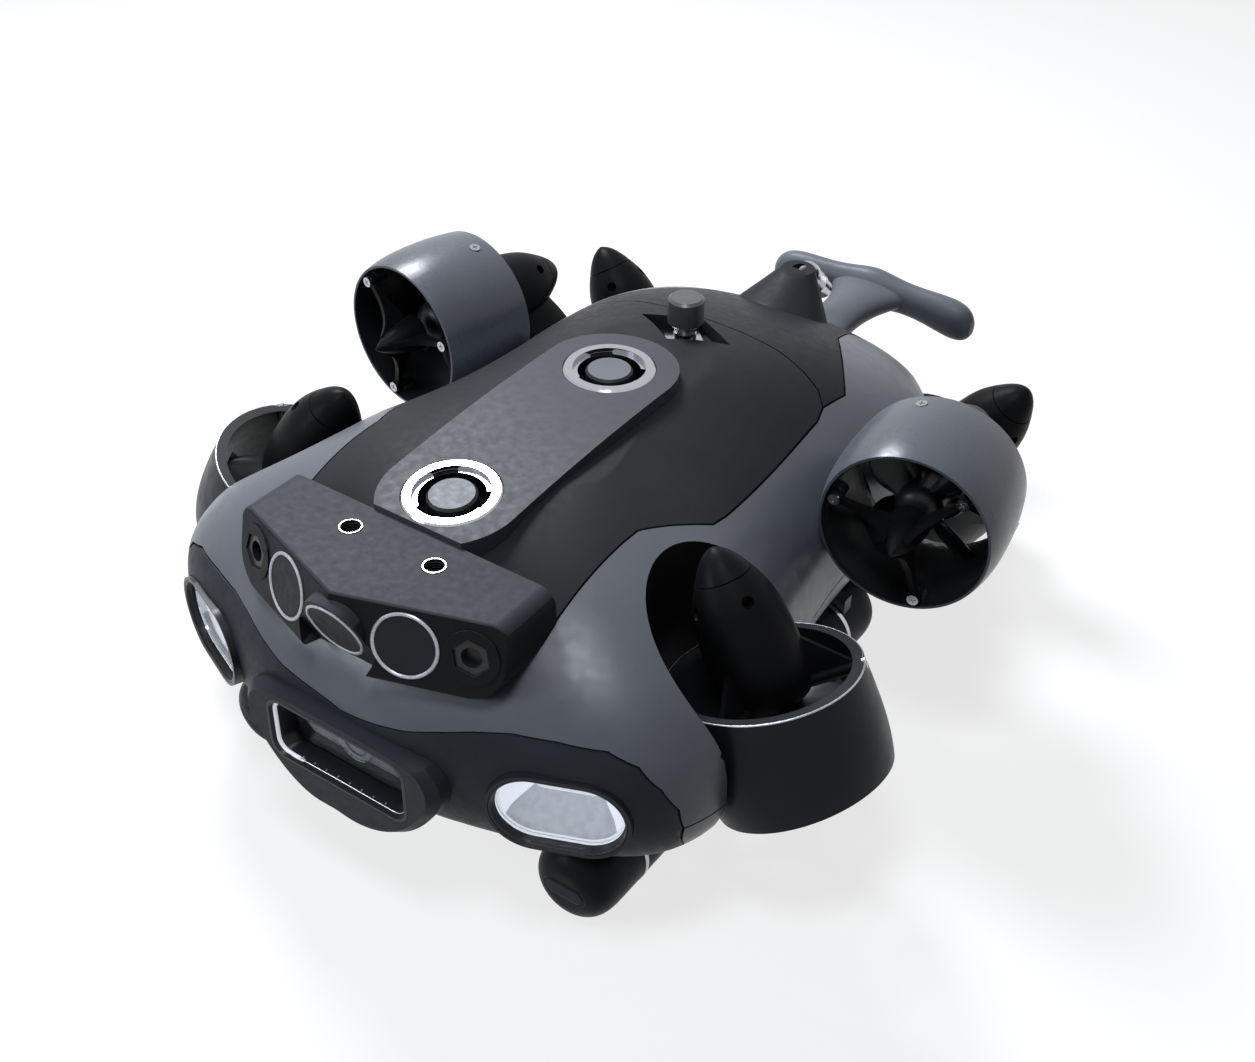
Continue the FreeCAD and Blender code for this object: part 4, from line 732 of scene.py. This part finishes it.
@dataclass
class Hull:
    """Shells, fascia, deck, tail cover, handle and plate, with the well walls painted near-black as
    shade.
    """

    front_well: tuple[float, float] = (120 * MM, -112 * MM)
    rear_well: tuple[float, float] = (104 * MM, 147 * MM)
    well_radius: float = 42.5 * MM
    well_tolerance: float = 0.4 * MM
    wall_slope: float = 0.3

    def in_well(self, centre: Vector, normal: Vector) -> bool:
        """Tell whether a face lies on the wall of a thruster well."""
        if abs(normal.z) > self.wall_slope:
            return False
        for x, y in (self.front_well, self.rear_well):
            reach = math.hypot(abs(centre.x) - x, centre.y - y)
            if abs(reach - self.well_radius) < self.well_tolerance:
                return True
        return False

    def build(self) -> None:
        """Finish the shells, panels, handle and top plate."""
        for node in ("upper_shell", "lower_shell"):
            # The well walls get the near-black painted shade finish.
            Dressed(node, SATIN_SHELL, inner=WELL_PAINTED_SHADE, inner_test=self.in_well).build()
        Dressed("front_fascia", FASCIA_BLACK).build()
        Dressed("centre_deck", DECK_PANEL).build()
        Dressed("tail_cover", TAIL_PANEL).build()
        Dressed("tow_handle", HANDLE_GREY).build()
        Dressed("top_plate", PLATE_GREY, sharp=25).build()


@dataclass
class Thruster:
    """One ducted thruster: its station and side, and whether its duct is a dark, slanted one."""

    station: str
    side: str
    vectored: bool
    bore_radius: float = 34.8 * MM
    bore_tolerance: float = 0.6 * MM
    lip_radius: float = 0.42 * MM
    lip_sink: float = 0.1 * MM
    lip_rays: int = 96
    rim_depth: float = 50 * MM
    rim_normal: tuple[float, float, float] = (-0.3, 0.05, 0.95)
    rim_reach: float = 47 * MM
    ray_start: float = 60 * MM

    def axis(self) -> tuple[Vector, Vector]:
        """Middle of the guard rim and the way the motor pod points."""
        joint = next(j for j in frame["record"]["behaviour"]["joints"]
                     if j["name"] == f"{self.station}_spin_{self.side}")
        return Vector(joint["pos_m"]), Vector(joint["axis"]).normalized()

    def in_bore(self, centre: Vector, normal: Vector) -> bool:
        """Tell whether a face lies on the duct's bore."""
        rim, way = self.axis()
        offset = centre - rim
        out = offset - offset.dot(way) * way
        return out.length < self.bore_radius + self.bore_tolerance and normal.dot(out) < 0

    def rim_highlight_lip(self) -> None:
        """Thin bright lip round the outer edge of a front duct's pod-side rim, a painted highlight
        on the rim's edge.
        """
        rim, way = self.axis()
        duct = f"{self.station}_duct_{self.side}"
        probe = Probe(duct)
        flip = -1.0 if self.side == "left" else 1.0
        normal = Vector((self.rim_normal[0] * flip, *self.rim_normal[1:])).normalized()
        middle = rim + way * self.rim_depth - normal * (self.lip_radius * 0.9)
        across, upward = Craft.plane_of(normal)
        points = probe.loop(middle, across, upward, self.lip_rays, outside=self.ray_start,
                            lift=-self.lip_sink)
        points = [point for point in points if (point - middle).length < self.rim_reach]
        # The lip's pale finish is a painted highlight.
        Strand(f"{duct}_lip", points, self.lip_radius, RIM_PAINTED_HIGHLIGHT, "duct_black").build()

    def build(self) -> None:
        """Finish the duct, pod and propeller."""
        tail = f"_{self.side}"
        duct = DUCT_DARK if self.vectored else DUCT_SATIN
        Dressed(f"{self.station}_duct{tail}", duct, sharp=28, inner=DUCT_BORE,
                inner_test=self.in_bore).build()
        Dressed(f"{self.station}_pod{tail}", POD_BLACK, sharp=28).build()
        Dressed(f"{self.station}_propeller{tail}", BLADE_GREY, sharp=30).build()
        if self.station == "front":
            self.rim_highlight_lip()


@dataclass
class ToolBar:
    """Tool bar: grey on top, with near-black painted shade on the faces that look ahead and below,
    and its threaded inserts, whose bores are painted black as shade.
    """

    insert_x: float = 20.7 * MM
    insert_y: float = -180 * MM
    insert_bore: float = 4.0 * MM
    top: float = 147.9 * MM
    thread_start: float = 1.6 * MM
    thread_ridge: float = 0.22 * MM
    thread_pitch: float = 1.25 * MM
    thread_count: int = 9

    @staticmethod
    def off_top(centre: Vector, normal: Vector) -> bool:
        """Tell whether a face of the bar looks ahead or down, where its shade is painted."""
        return normal.z < 0.55

    @staticmethod
    def off_rim(centre: Vector, normal: Vector) -> bool:
        """Tell whether a face of an insert is not its top rim; these faces are painted black as
        shade.
        """
        return normal.z < 0.9

    def build(self) -> None:
        """Finish the bar and the inserts, and cut their threads."""
        # Faces that look ahead or down get the painted shade finish.
        Dressed("tool_bar", BAR_GREY, sharp=28, inner=BAR_PAINTED_SHADE, inner_test=self.off_top,
                ceiling=self.top).build()
        # The inserts' bores below the rim are painted black as shade.
        Dressed("threaded_inserts", CHROME, sharp=28, inner=CAMERA_BLACK,
                inner_test=self.off_rim).build()
        top = Craft.box("threaded_inserts")[1].z
        for index, x in enumerate((self.insert_x, -self.insert_x)):
            first = Vector((x, self.insert_y, top - self.thread_start))
            ridge = Craft.hoop(f"thread_ridge_{index}", first, UP, self.insert_bore,
                               self.thread_ridge)
            Row(f"insert_thread_{index}", ridge, self.thread_count,
                Vector((0, 0, -self.thread_pitch)), BOLT_DARK, "brass").build()


@dataclass
class CameraWindow:
    """Bright lines, one of them a glowing painted highlight, and a ruled ledge inside the camera's
    bezel.
    """

    line_depth: float = 2.2 * MM
    line_lift: float = 0.35 * MM
    line_radius: float = 0.3 * MM
    line_rays: int = 120
    side_from: float = 20 * MM
    side_radius: float = 0.85 * MM
    lens_gap: float = 0.12 * MM
    lens_wire: float = 0.16 * MM
    ledge_inset: float = 3 * MM
    ledge_back: float = 0.5 * MM
    ledge_lift: float = 0.15 * MM
    rib_count: int = 8
    rib_pitch: float = 6.2 * MM
    rib_width: float = 0.45 * MM
    rib_height: float = 0.5 * MM
    rule_shares: tuple[float, float] = (0.3, 0.72)
    rule_radius: float = 0.28 * MM

    def lines(self, middle: Vector, probe: Probe) -> None:
        """Lay the bright lines round the opening; the side one glows as a painted highlight.

        Args:
            middle: Middle of the opening, at the lines' depth.
            probe: Rays against the bezel.
        """
        loop = probe.loop(middle, Vector((1, 0, 0)), UP, self.line_rays, lift=self.line_lift)
        Strand("window_line", loop, self.line_radius, CHROME, "lamp_rim").build()
        side = [point for point in loop if point.x < -self.side_from]
        side.sort(key=lambda point: point.z)
        if len(side) > 3:
            # The side line glows in the reflector finish, a painted highlight.
            Strand("window_side_painted_highlight", side, self.side_radius, REFLECTOR_PAINTED_LIGHT, "lamp_rim",
                   closed=False).build()

    def lens(self, height: float) -> None:
        """Lay the rings of the lens at a height."""
        front = Craft.box("camera_module")[0].y - self.lens_gap
        for index, (radius, finish) in enumerate(((8.6 * MM, SATIN_STEEL),
                                                  (5.4 * MM, BEZEL_BLACK))):
            ring = Craft.circle(Vector((0, front, height)), Vector((0, 1, 0)), radius)
            Strand(f"lens_ring_{index}", ring, self.lens_wire, finish, "camera_black").build()

    def ledge(self, floor: float, near: float, depth: float) -> None:
        """Rule the ledge with ribs and two cross lines.

        Args:
            floor: Height of the ledge.
            near: Y of its front edge.
            depth: Its depth along Y.
        """
        start = -self.rib_pitch * (self.rib_count - 1) / 2
        rib = Craft.brick("ledge_rib_part", Vector((start, near + depth / 2, floor)),
                          Vector((self.rib_width, depth, self.rib_height)))
        Row("ledge_ribs", rib, self.rib_count, Vector((self.rib_pitch, 0, 0)), LEDGE_LINE,
            "lamp_rim").build()
        reach = -start + self.ledge_inset
        for index, share in enumerate(self.rule_shares):
            y = near + depth * share
            Strand(f"ledge_line_{index}", [Vector((-reach, y, floor)), Vector((reach, y, floor))],
                   self.rule_radius, LEDGE_LINE, "lamp_rim", closed=False).build()

    def build(self) -> None:
        """Lay the lines, the lens rings and the ruled ledge."""
        low, high = Craft.box("camera_bezel")
        probe = Probe("camera_bezel")
        middle = Vector((0, low.y + self.line_depth, (low.z + high.z) / 2))
        self.lines(middle, probe)
        self.lens(middle.z)
        met = probe.hit(middle, -UP)
        if met is not None:
            depth = high.y - low.y - self.ledge_inset - self.ledge_back
            self.ledge(met.z + self.ledge_lift, low.y + self.ledge_inset, depth)


@dataclass
class LampLines:
    """Bright line and dark step inside each lamp's bezel."""

    toe_degrees: float = 22.6
    middle: tuple[float, float, float] = (90 * MM, -197.5 * MM, 75 * MM)
    rays: int = 96
    lift: float = 0.3 * MM
    reach: float = 30 * MM
    fewest: int = 60

    def build(self) -> None:
        """Lay both lines round both lamps."""
        probe = Probe("lamp_bezels")
        toe = math.radians(self.toe_degrees)
        for side, flip in (("right", 1.0), ("left", -1.0)):
            ahead = Vector((math.sin(toe) * flip, -math.cos(toe), 0))
            across = Vector((math.cos(toe) * flip, math.sin(toe), 0))
            centre = Vector((self.middle[0] * flip, *self.middle[1:]))
            for label, depth, thick, finish in (("bright", 4.0, 0.45, CHROME),
                                                ("dark", 1.6, 0.5, BOLT_DARK)):
                spot = centre + ahead * (depth * MM)
                loop = probe.loop(spot, across, UP, self.rays, lift=self.lift)
                loop = [point for point in loop if (point - spot).length < self.reach]
                if len(loop) > self.fewest:
                    Strand(f"lamp_{label}_line_{side}", loop, thick * MM, finish,
                           "lamp_rim").build()


@dataclass
class NosePad:
    """Moulded pad with a fine groove on the nose of a battery tube."""

    side: float
    half_length: float = 5.2 * MM
    half_height: float = 3.6 * MM
    centre: tuple[float, float] = (84 * MM, 19.2 * MM)
    height: float = 0.35 * MM
    root: float = 0.4 * MM
    corners: int = 36
    groove_share: float = 1.16
    groove_radius: float = 0.16 * MM

    def outline(self, share: float) -> list[tuple[float, float]]:
        """Stadium outline about the pad's centre, scaled by a share."""
        points = []
        for step in range(self.corners):
            angle = math.tau * (step + 0.5) / self.corners
            shift = math.copysign(self.half_length, math.cos(angle))
            points.append((share * (shift + self.half_height * math.cos(angle)),
                           share * self.half_height * math.sin(angle)))
        return points

    def build(self) -> None:
        """Shape the pad over the nose and lay its groove."""
        probe = Probe("battery_caps")
        middle = Vector((self.centre[0] * self.side, 0, self.centre[1]))

        def laid(across: float, up: float, lift: float) -> Vector:
            """Point on the nose, lifted off it towards the bow."""
            start = middle + Vector((across * self.side, -0.25, up))
            met = probe.hit(start, Vector((0, 1, 0)), 0.2)
            return (met or start) - Vector((0, lift, 0))

        rings = [[laid(x, z, lift) for x, z in self.outline(share)]
                 for share, lift in ((1.0, -self.root), (1.0, self.height * 0.6),
                                     (0.94, self.height), (0.6, self.height))]
        points = [point for ring in rings for point in ring]
        count = len(rings[0])
        points.append(laid(0, 0, self.height))
        faces: list[tuple[int, ...]] = []
        for ring in range(len(rings) - 1):
            for i in range(count):
                j = (i + 1) % count
                faces.append((ring * count + i, ring * count + j,
                              (ring + 1) * count + j, (ring + 1) * count + i))
        last = (len(rings) - 1) * count
        faces += [(last + i, last + (i + 1) % count, len(points) - 1) for i in range(count)]
        faces.append(tuple(range(count - 1, -1, -1)))
        name = "nose_pad_right" if self.side > 0 else "nose_pad_left"
        mesh = bpy.data.meshes.new(name)
        mesh.from_pydata(points, [], faces)
        work = bmesh.new()
        work.from_mesh(mesh)
        bmesh.ops.recalc_face_normals(work, faces=work.faces)
        work.to_mesh(mesh)
        work.free()
        Craft.smooth(mesh, PAD_SHARP)
        Craft.settle(name, mesh, TUBE_PAD, HULL_BODY, "tube_grey")
        groove = [laid(x, z, 0.02 * MM) for x, z in self.outline(self.groove_share)]
        Strand(name + "_groove", groove, self.groove_radius, CAMERA_BLACK, "tube_grey").build()


@dataclass
class TetherThread:
    """Thread ridges on the tether connector."""

    start: tuple[float, float, float] = (0.0, 131.5 * MM, 131 * MM)
    way: tuple[float, float, float] = (0.0, 0.77, -0.64)
    offset: float = 8 * MM
    pitch: float = 1.5 * MM
    count: int = 5
    rays: int = 24
    ray_start: float = 20 * MM
    ridge: float = 0.4 * MM

    def build(self) -> None:
        """Repeat a ridge along the connector's barrel."""
        way = Vector(self.way).normalized()
        first = Vector(self.start) + way * self.offset
        across, upward = Craft.plane_of(way)
        loop = Probe("tether_connector").loop(first, across, upward, self.rays,
                                              outside=self.ray_start)
        if not loop:
            return
        radius = sum((point - first).length for point in loop) / len(loop)
        ridge = Craft.hoop("tether_ridge", first, way, radius, self.ridge)
        Row("tether_ridges", ridge, self.count, way * self.pitch, CHROME, "chrome").build()


@dataclass
class Fittings:
    """Small pieces that keep their solid's own shape, and their finishes."""

    finishes: dict[str, Finish | ClearPane] = field(default_factory=lambda: {
        "front_guards": POD_BLACK, "mid_guards": POD_BLACK, "rear_guards": POD_BLACK,
        "pod_caps": POD_BLACK, "thruster_motors": HOUSING, "thruster_screws": CHROME,
        "sonar_faces": SONAR_BLACK, "sonar_rings": SONAR_RIM,
        "bar_bolts": BOLT_DARK, "port_rings": CHROME, "port_cups": CAMERA_BLACK,
        "vent_base": CHROME, "vent_cap": KNOB_BLACK, "tether_connector": CHROME,
        "battery_tubes": TUBE_GREY, "battery_caps": TUBE_GREY, "battery_bands": SATIN_STEEL,
        "battery_packs": PACK_WRAP, "battery_latch_right": SATIN_STEEL,
        "battery_latch_left": SATIN_STEEL, "rest_pads": RUBBER, "lamp_bezels": BEZEL_BLACK,
        "lamp_emitters": EMITTER, "lamp_lenses": CLEAR,
        "camera_bezel": BEZEL_BLACK, "camera_window": CLEAR, "camera_module": CAMERA_GREY,
        "chassis": CHASSIS_BLACK, "pressure_housing": HOUSING, "electronics_board": BOARD_GREEN,
    })

    def build(self) -> None:
        """Finish each of them."""
        for node, finish in self.finishes.items():
            Dressed(node, finish, sharp=28).build()
        # Reflector walls glow as painted lamp light; those facing up get painted shade instead.
        Dressed("lamp_reflectors", REFLECTOR_PAINTED_LIGHT, sharp=28, inner=LAMP_FLOOR_PAINTED_SHADE,
                inner_test=lambda centre, normal: normal.z > 0.4).build()
        for end in ("front", "rear"):
            Dressed(f"port_plug_{end}", PLUG_GREY, sharp=28, inner=PLUG_DARK,
                    inner_test=lambda centre, normal: normal.z < 0.8).build()


# --- studio ---------------------------------------------------------------------------------

@dataclass(frozen=True)
class Softbox:
    """A rectangular studio lamp."""

    name: str
    place: tuple[float, float, float]
    width: float
    depth: float
    watts: float
    colour: tuple[float, float, float] = (1.0, 1.0, 1.0)

    def build(self, target: Vector) -> None:
        """Hang the lamp, facing a target."""
        lamp = bpy.data.lights.new(self.name, "AREA")
        lamp.shape = "RECTANGLE"
        lamp.size = self.width
        lamp.size_y = self.depth
        lamp.energy = self.watts
        lamp.color = self.colour
        stand = bpy.data.objects.new(self.name, lamp)
        stand.location = self.place
        aim = target - Vector(self.place)
        stand.rotation_euler = aim.to_track_quat("-Z", "Y").to_euler()
        bpy.context.scene.collection.objects.link(stand)


@dataclass
class Studio:
    """Floor, world, lamps and camera."""

    eye: tuple[float, float, float] = (0.345, -0.5295, 0.5135)
    target: tuple[float, float, float] = (0.0482, -0.0949, 0.1251)
    roll_degrees: float = 1.08
    lens: float = 46.6
    ambient: float = 0.03
    floor_reach: float = 12.0
    floor_glow: float = 0.76
    aim: tuple[float, float, float] = (0.0, -0.05, 0.1)
    boxes: tuple[Softbox, ...] = (
        Softbox("overhead_softbox", (-0.6, 0.3, 0.95), 0.32, 0.32, 14, (0.93, 0.96, 1.0)),
        Softbox("bow_softbox", (-0.6, -0.9, 0.5), 0.35, 0.3, 3.5, (0.83, 0.91, 1.0)),
        Softbox("crest_softbox", (0.15, -0.45, 1.2), 0.3, 0.3, 5, (0.9, 0.94, 1.0)),
    )

    def camera(self) -> None:
        """Set the camera at its place, with its small roll."""
        data = bpy.data.cameras.new("camera")
        data.lens = self.lens
        data.sensor_width = 36.0
        data.sensor_fit = "HORIZONTAL"
        data.clip_start = 0.01
        eye, target = Vector(self.eye), Vector(self.target)
        back = (eye - target).normalized()
        right = UP.cross(back).normalized()
        up = back.cross(right)
        angle = math.radians(self.roll_degrees)
        across = math.cos(angle) * right + math.sin(angle) * up
        upward = math.cos(angle) * up - math.sin(angle) * right
        turn = Matrix((across, upward, back)).transposed()
        holder = bpy.data.objects.new("camera", data)
        holder.matrix_world = Matrix.Translation(eye) @ turn.to_4x4()
        bpy.context.scene.collection.objects.link(holder)
        bpy.context.scene.camera = holder

    @staticmethod
    def seen_rays(tree: bpy.types.NodeTree) -> bpy.types.NodeSocket:
        """Add nodes that give 1 for camera, glossy and transmission rays, and return the socket."""
        path = tree.nodes.new("ShaderNodeLightPath")
        level = path.outputs["Is Camera Ray"]
        for ray in ("Is Glossy Ray", "Is Transmission Ray"):
            most = tree.nodes.new("ShaderNodeMath")
            most.operation = "MAXIMUM"
            tree.links.new(level, most.inputs[0])
            tree.links.new(path.outputs[ray], most.inputs[1])
            level = most.outputs[0]
        return level

    def world(self) -> None:
        """White to the camera and in reflections, and a plain grey light otherwise."""
        world = bpy.data.worlds.new("studio")
        bpy.context.scene.world = world
        world.use_nodes = True
        tree = world.node_tree
        tree.nodes.clear()
        output = tree.nodes.new("ShaderNodeOutputWorld")
        mix = tree.nodes.new("ShaderNodeMixShader")
        ambient = tree.nodes.new("ShaderNodeBackground")
        ambient.inputs["Color"].default_value = (0.85, 0.92, 1.0, 1)
        ambient.inputs["Strength"].default_value = self.ambient
        white = tree.nodes.new("ShaderNodeBackground")
        white.inputs["Color"].default_value = (1, 1, 1, 1)
        tree.links.new(self.seen_rays(tree), mix.inputs["Fac"])
        tree.links.new(ambient.outputs[0], mix.inputs[1])
        tree.links.new(white.outputs[0], mix.inputs[2])
        tree.links.new(mix.outputs[0], output.inputs["Surface"])

    def floor(self) -> None:
        """Lay a plain pale floor, which keeps the shadow and lights the vehicle little."""
        mesh = bpy.data.meshes.new("floor")
        reach = self.floor_reach
        corners = [(x, y, 0) for x, y in ((-reach, -reach), (reach, -reach), (reach, reach),
                                          (-reach, reach))]
        mesh.from_pydata(corners, [], [(0, 1, 2, 3)])
        pale = bpy.data.materials.new("pale_floor")
        pale.use_nodes = True
        tree = pale.node_tree
        tree.nodes.clear()
        output = tree.nodes.new("ShaderNodeOutputMaterial")
        mix = tree.nodes.new("ShaderNodeMixShader")
        seen = tree.nodes.new("ShaderNodeAddShader")
        lit = tree.nodes.new("ShaderNodeBsdfDiffuse")
        lit.inputs["Color"].default_value = (0.3, 0.3, 0.3, 1)
        plain = tree.nodes.new("ShaderNodeEmission")
        plain.inputs["Strength"].default_value = self.floor_glow
        bounce = tree.nodes.new("ShaderNodeBsdfDiffuse")
        bounce.inputs["Color"].default_value = (0.12, 0.125, 0.135, 1)
        tree.links.new(lit.outputs[0], seen.inputs[0])
        tree.links.new(plain.outputs[0], seen.inputs[1])
        tree.links.new(self.seen_rays(tree), mix.inputs["Fac"])
        tree.links.new(bounce.outputs[0], mix.inputs[1])
        tree.links.new(seen.outputs[0], mix.inputs[2])
        tree.links.new(mix.outputs[0], output.inputs["Surface"])
        mesh.materials.append(pale)
        piece = bpy.data.objects.new("floor", mesh)
        bpy.context.scene.collection.objects.link(piece)

    def build(self) -> None:
        """Set up the whole studio."""
        self.camera()
        self.world()
        self.floor()
        for box in self.boxes:
            box.build(Vector(self.aim))
        bpy.context.scene.view_settings.view_transform = "Standard"


def main() -> None:
    """Build the vehicle's looks piece by piece, and then the studio."""
    logging.basicConfig(level=logging.INFO, format="%(message)s")
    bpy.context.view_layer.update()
    Hull().build()
    LOG.info("hull panels finished")
    for station in ("front", "mid", "rear"):
        for side in ("right", "left"):
            Thruster(station, side, station != "mid").build()
            LOG.info("%s %s thruster finished", station, side)
    ToolBar().build()
    LOG.info("tool bar finished")
    Fittings().build()
    LOG.info("fittings finished")
    CameraWindow().build()
    LampLines().build()
    LOG.info("camera and lamp lines laid")
    for flip in (1.0, -1.0):
        NosePad(flip).build()
    TetherThread().build()
    LOG.info("nose pads and tether thread finished")
    Studio().build()
    LOG.info("studio ready")


if __name__ == "__main__":
    frame.update(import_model())
    main()
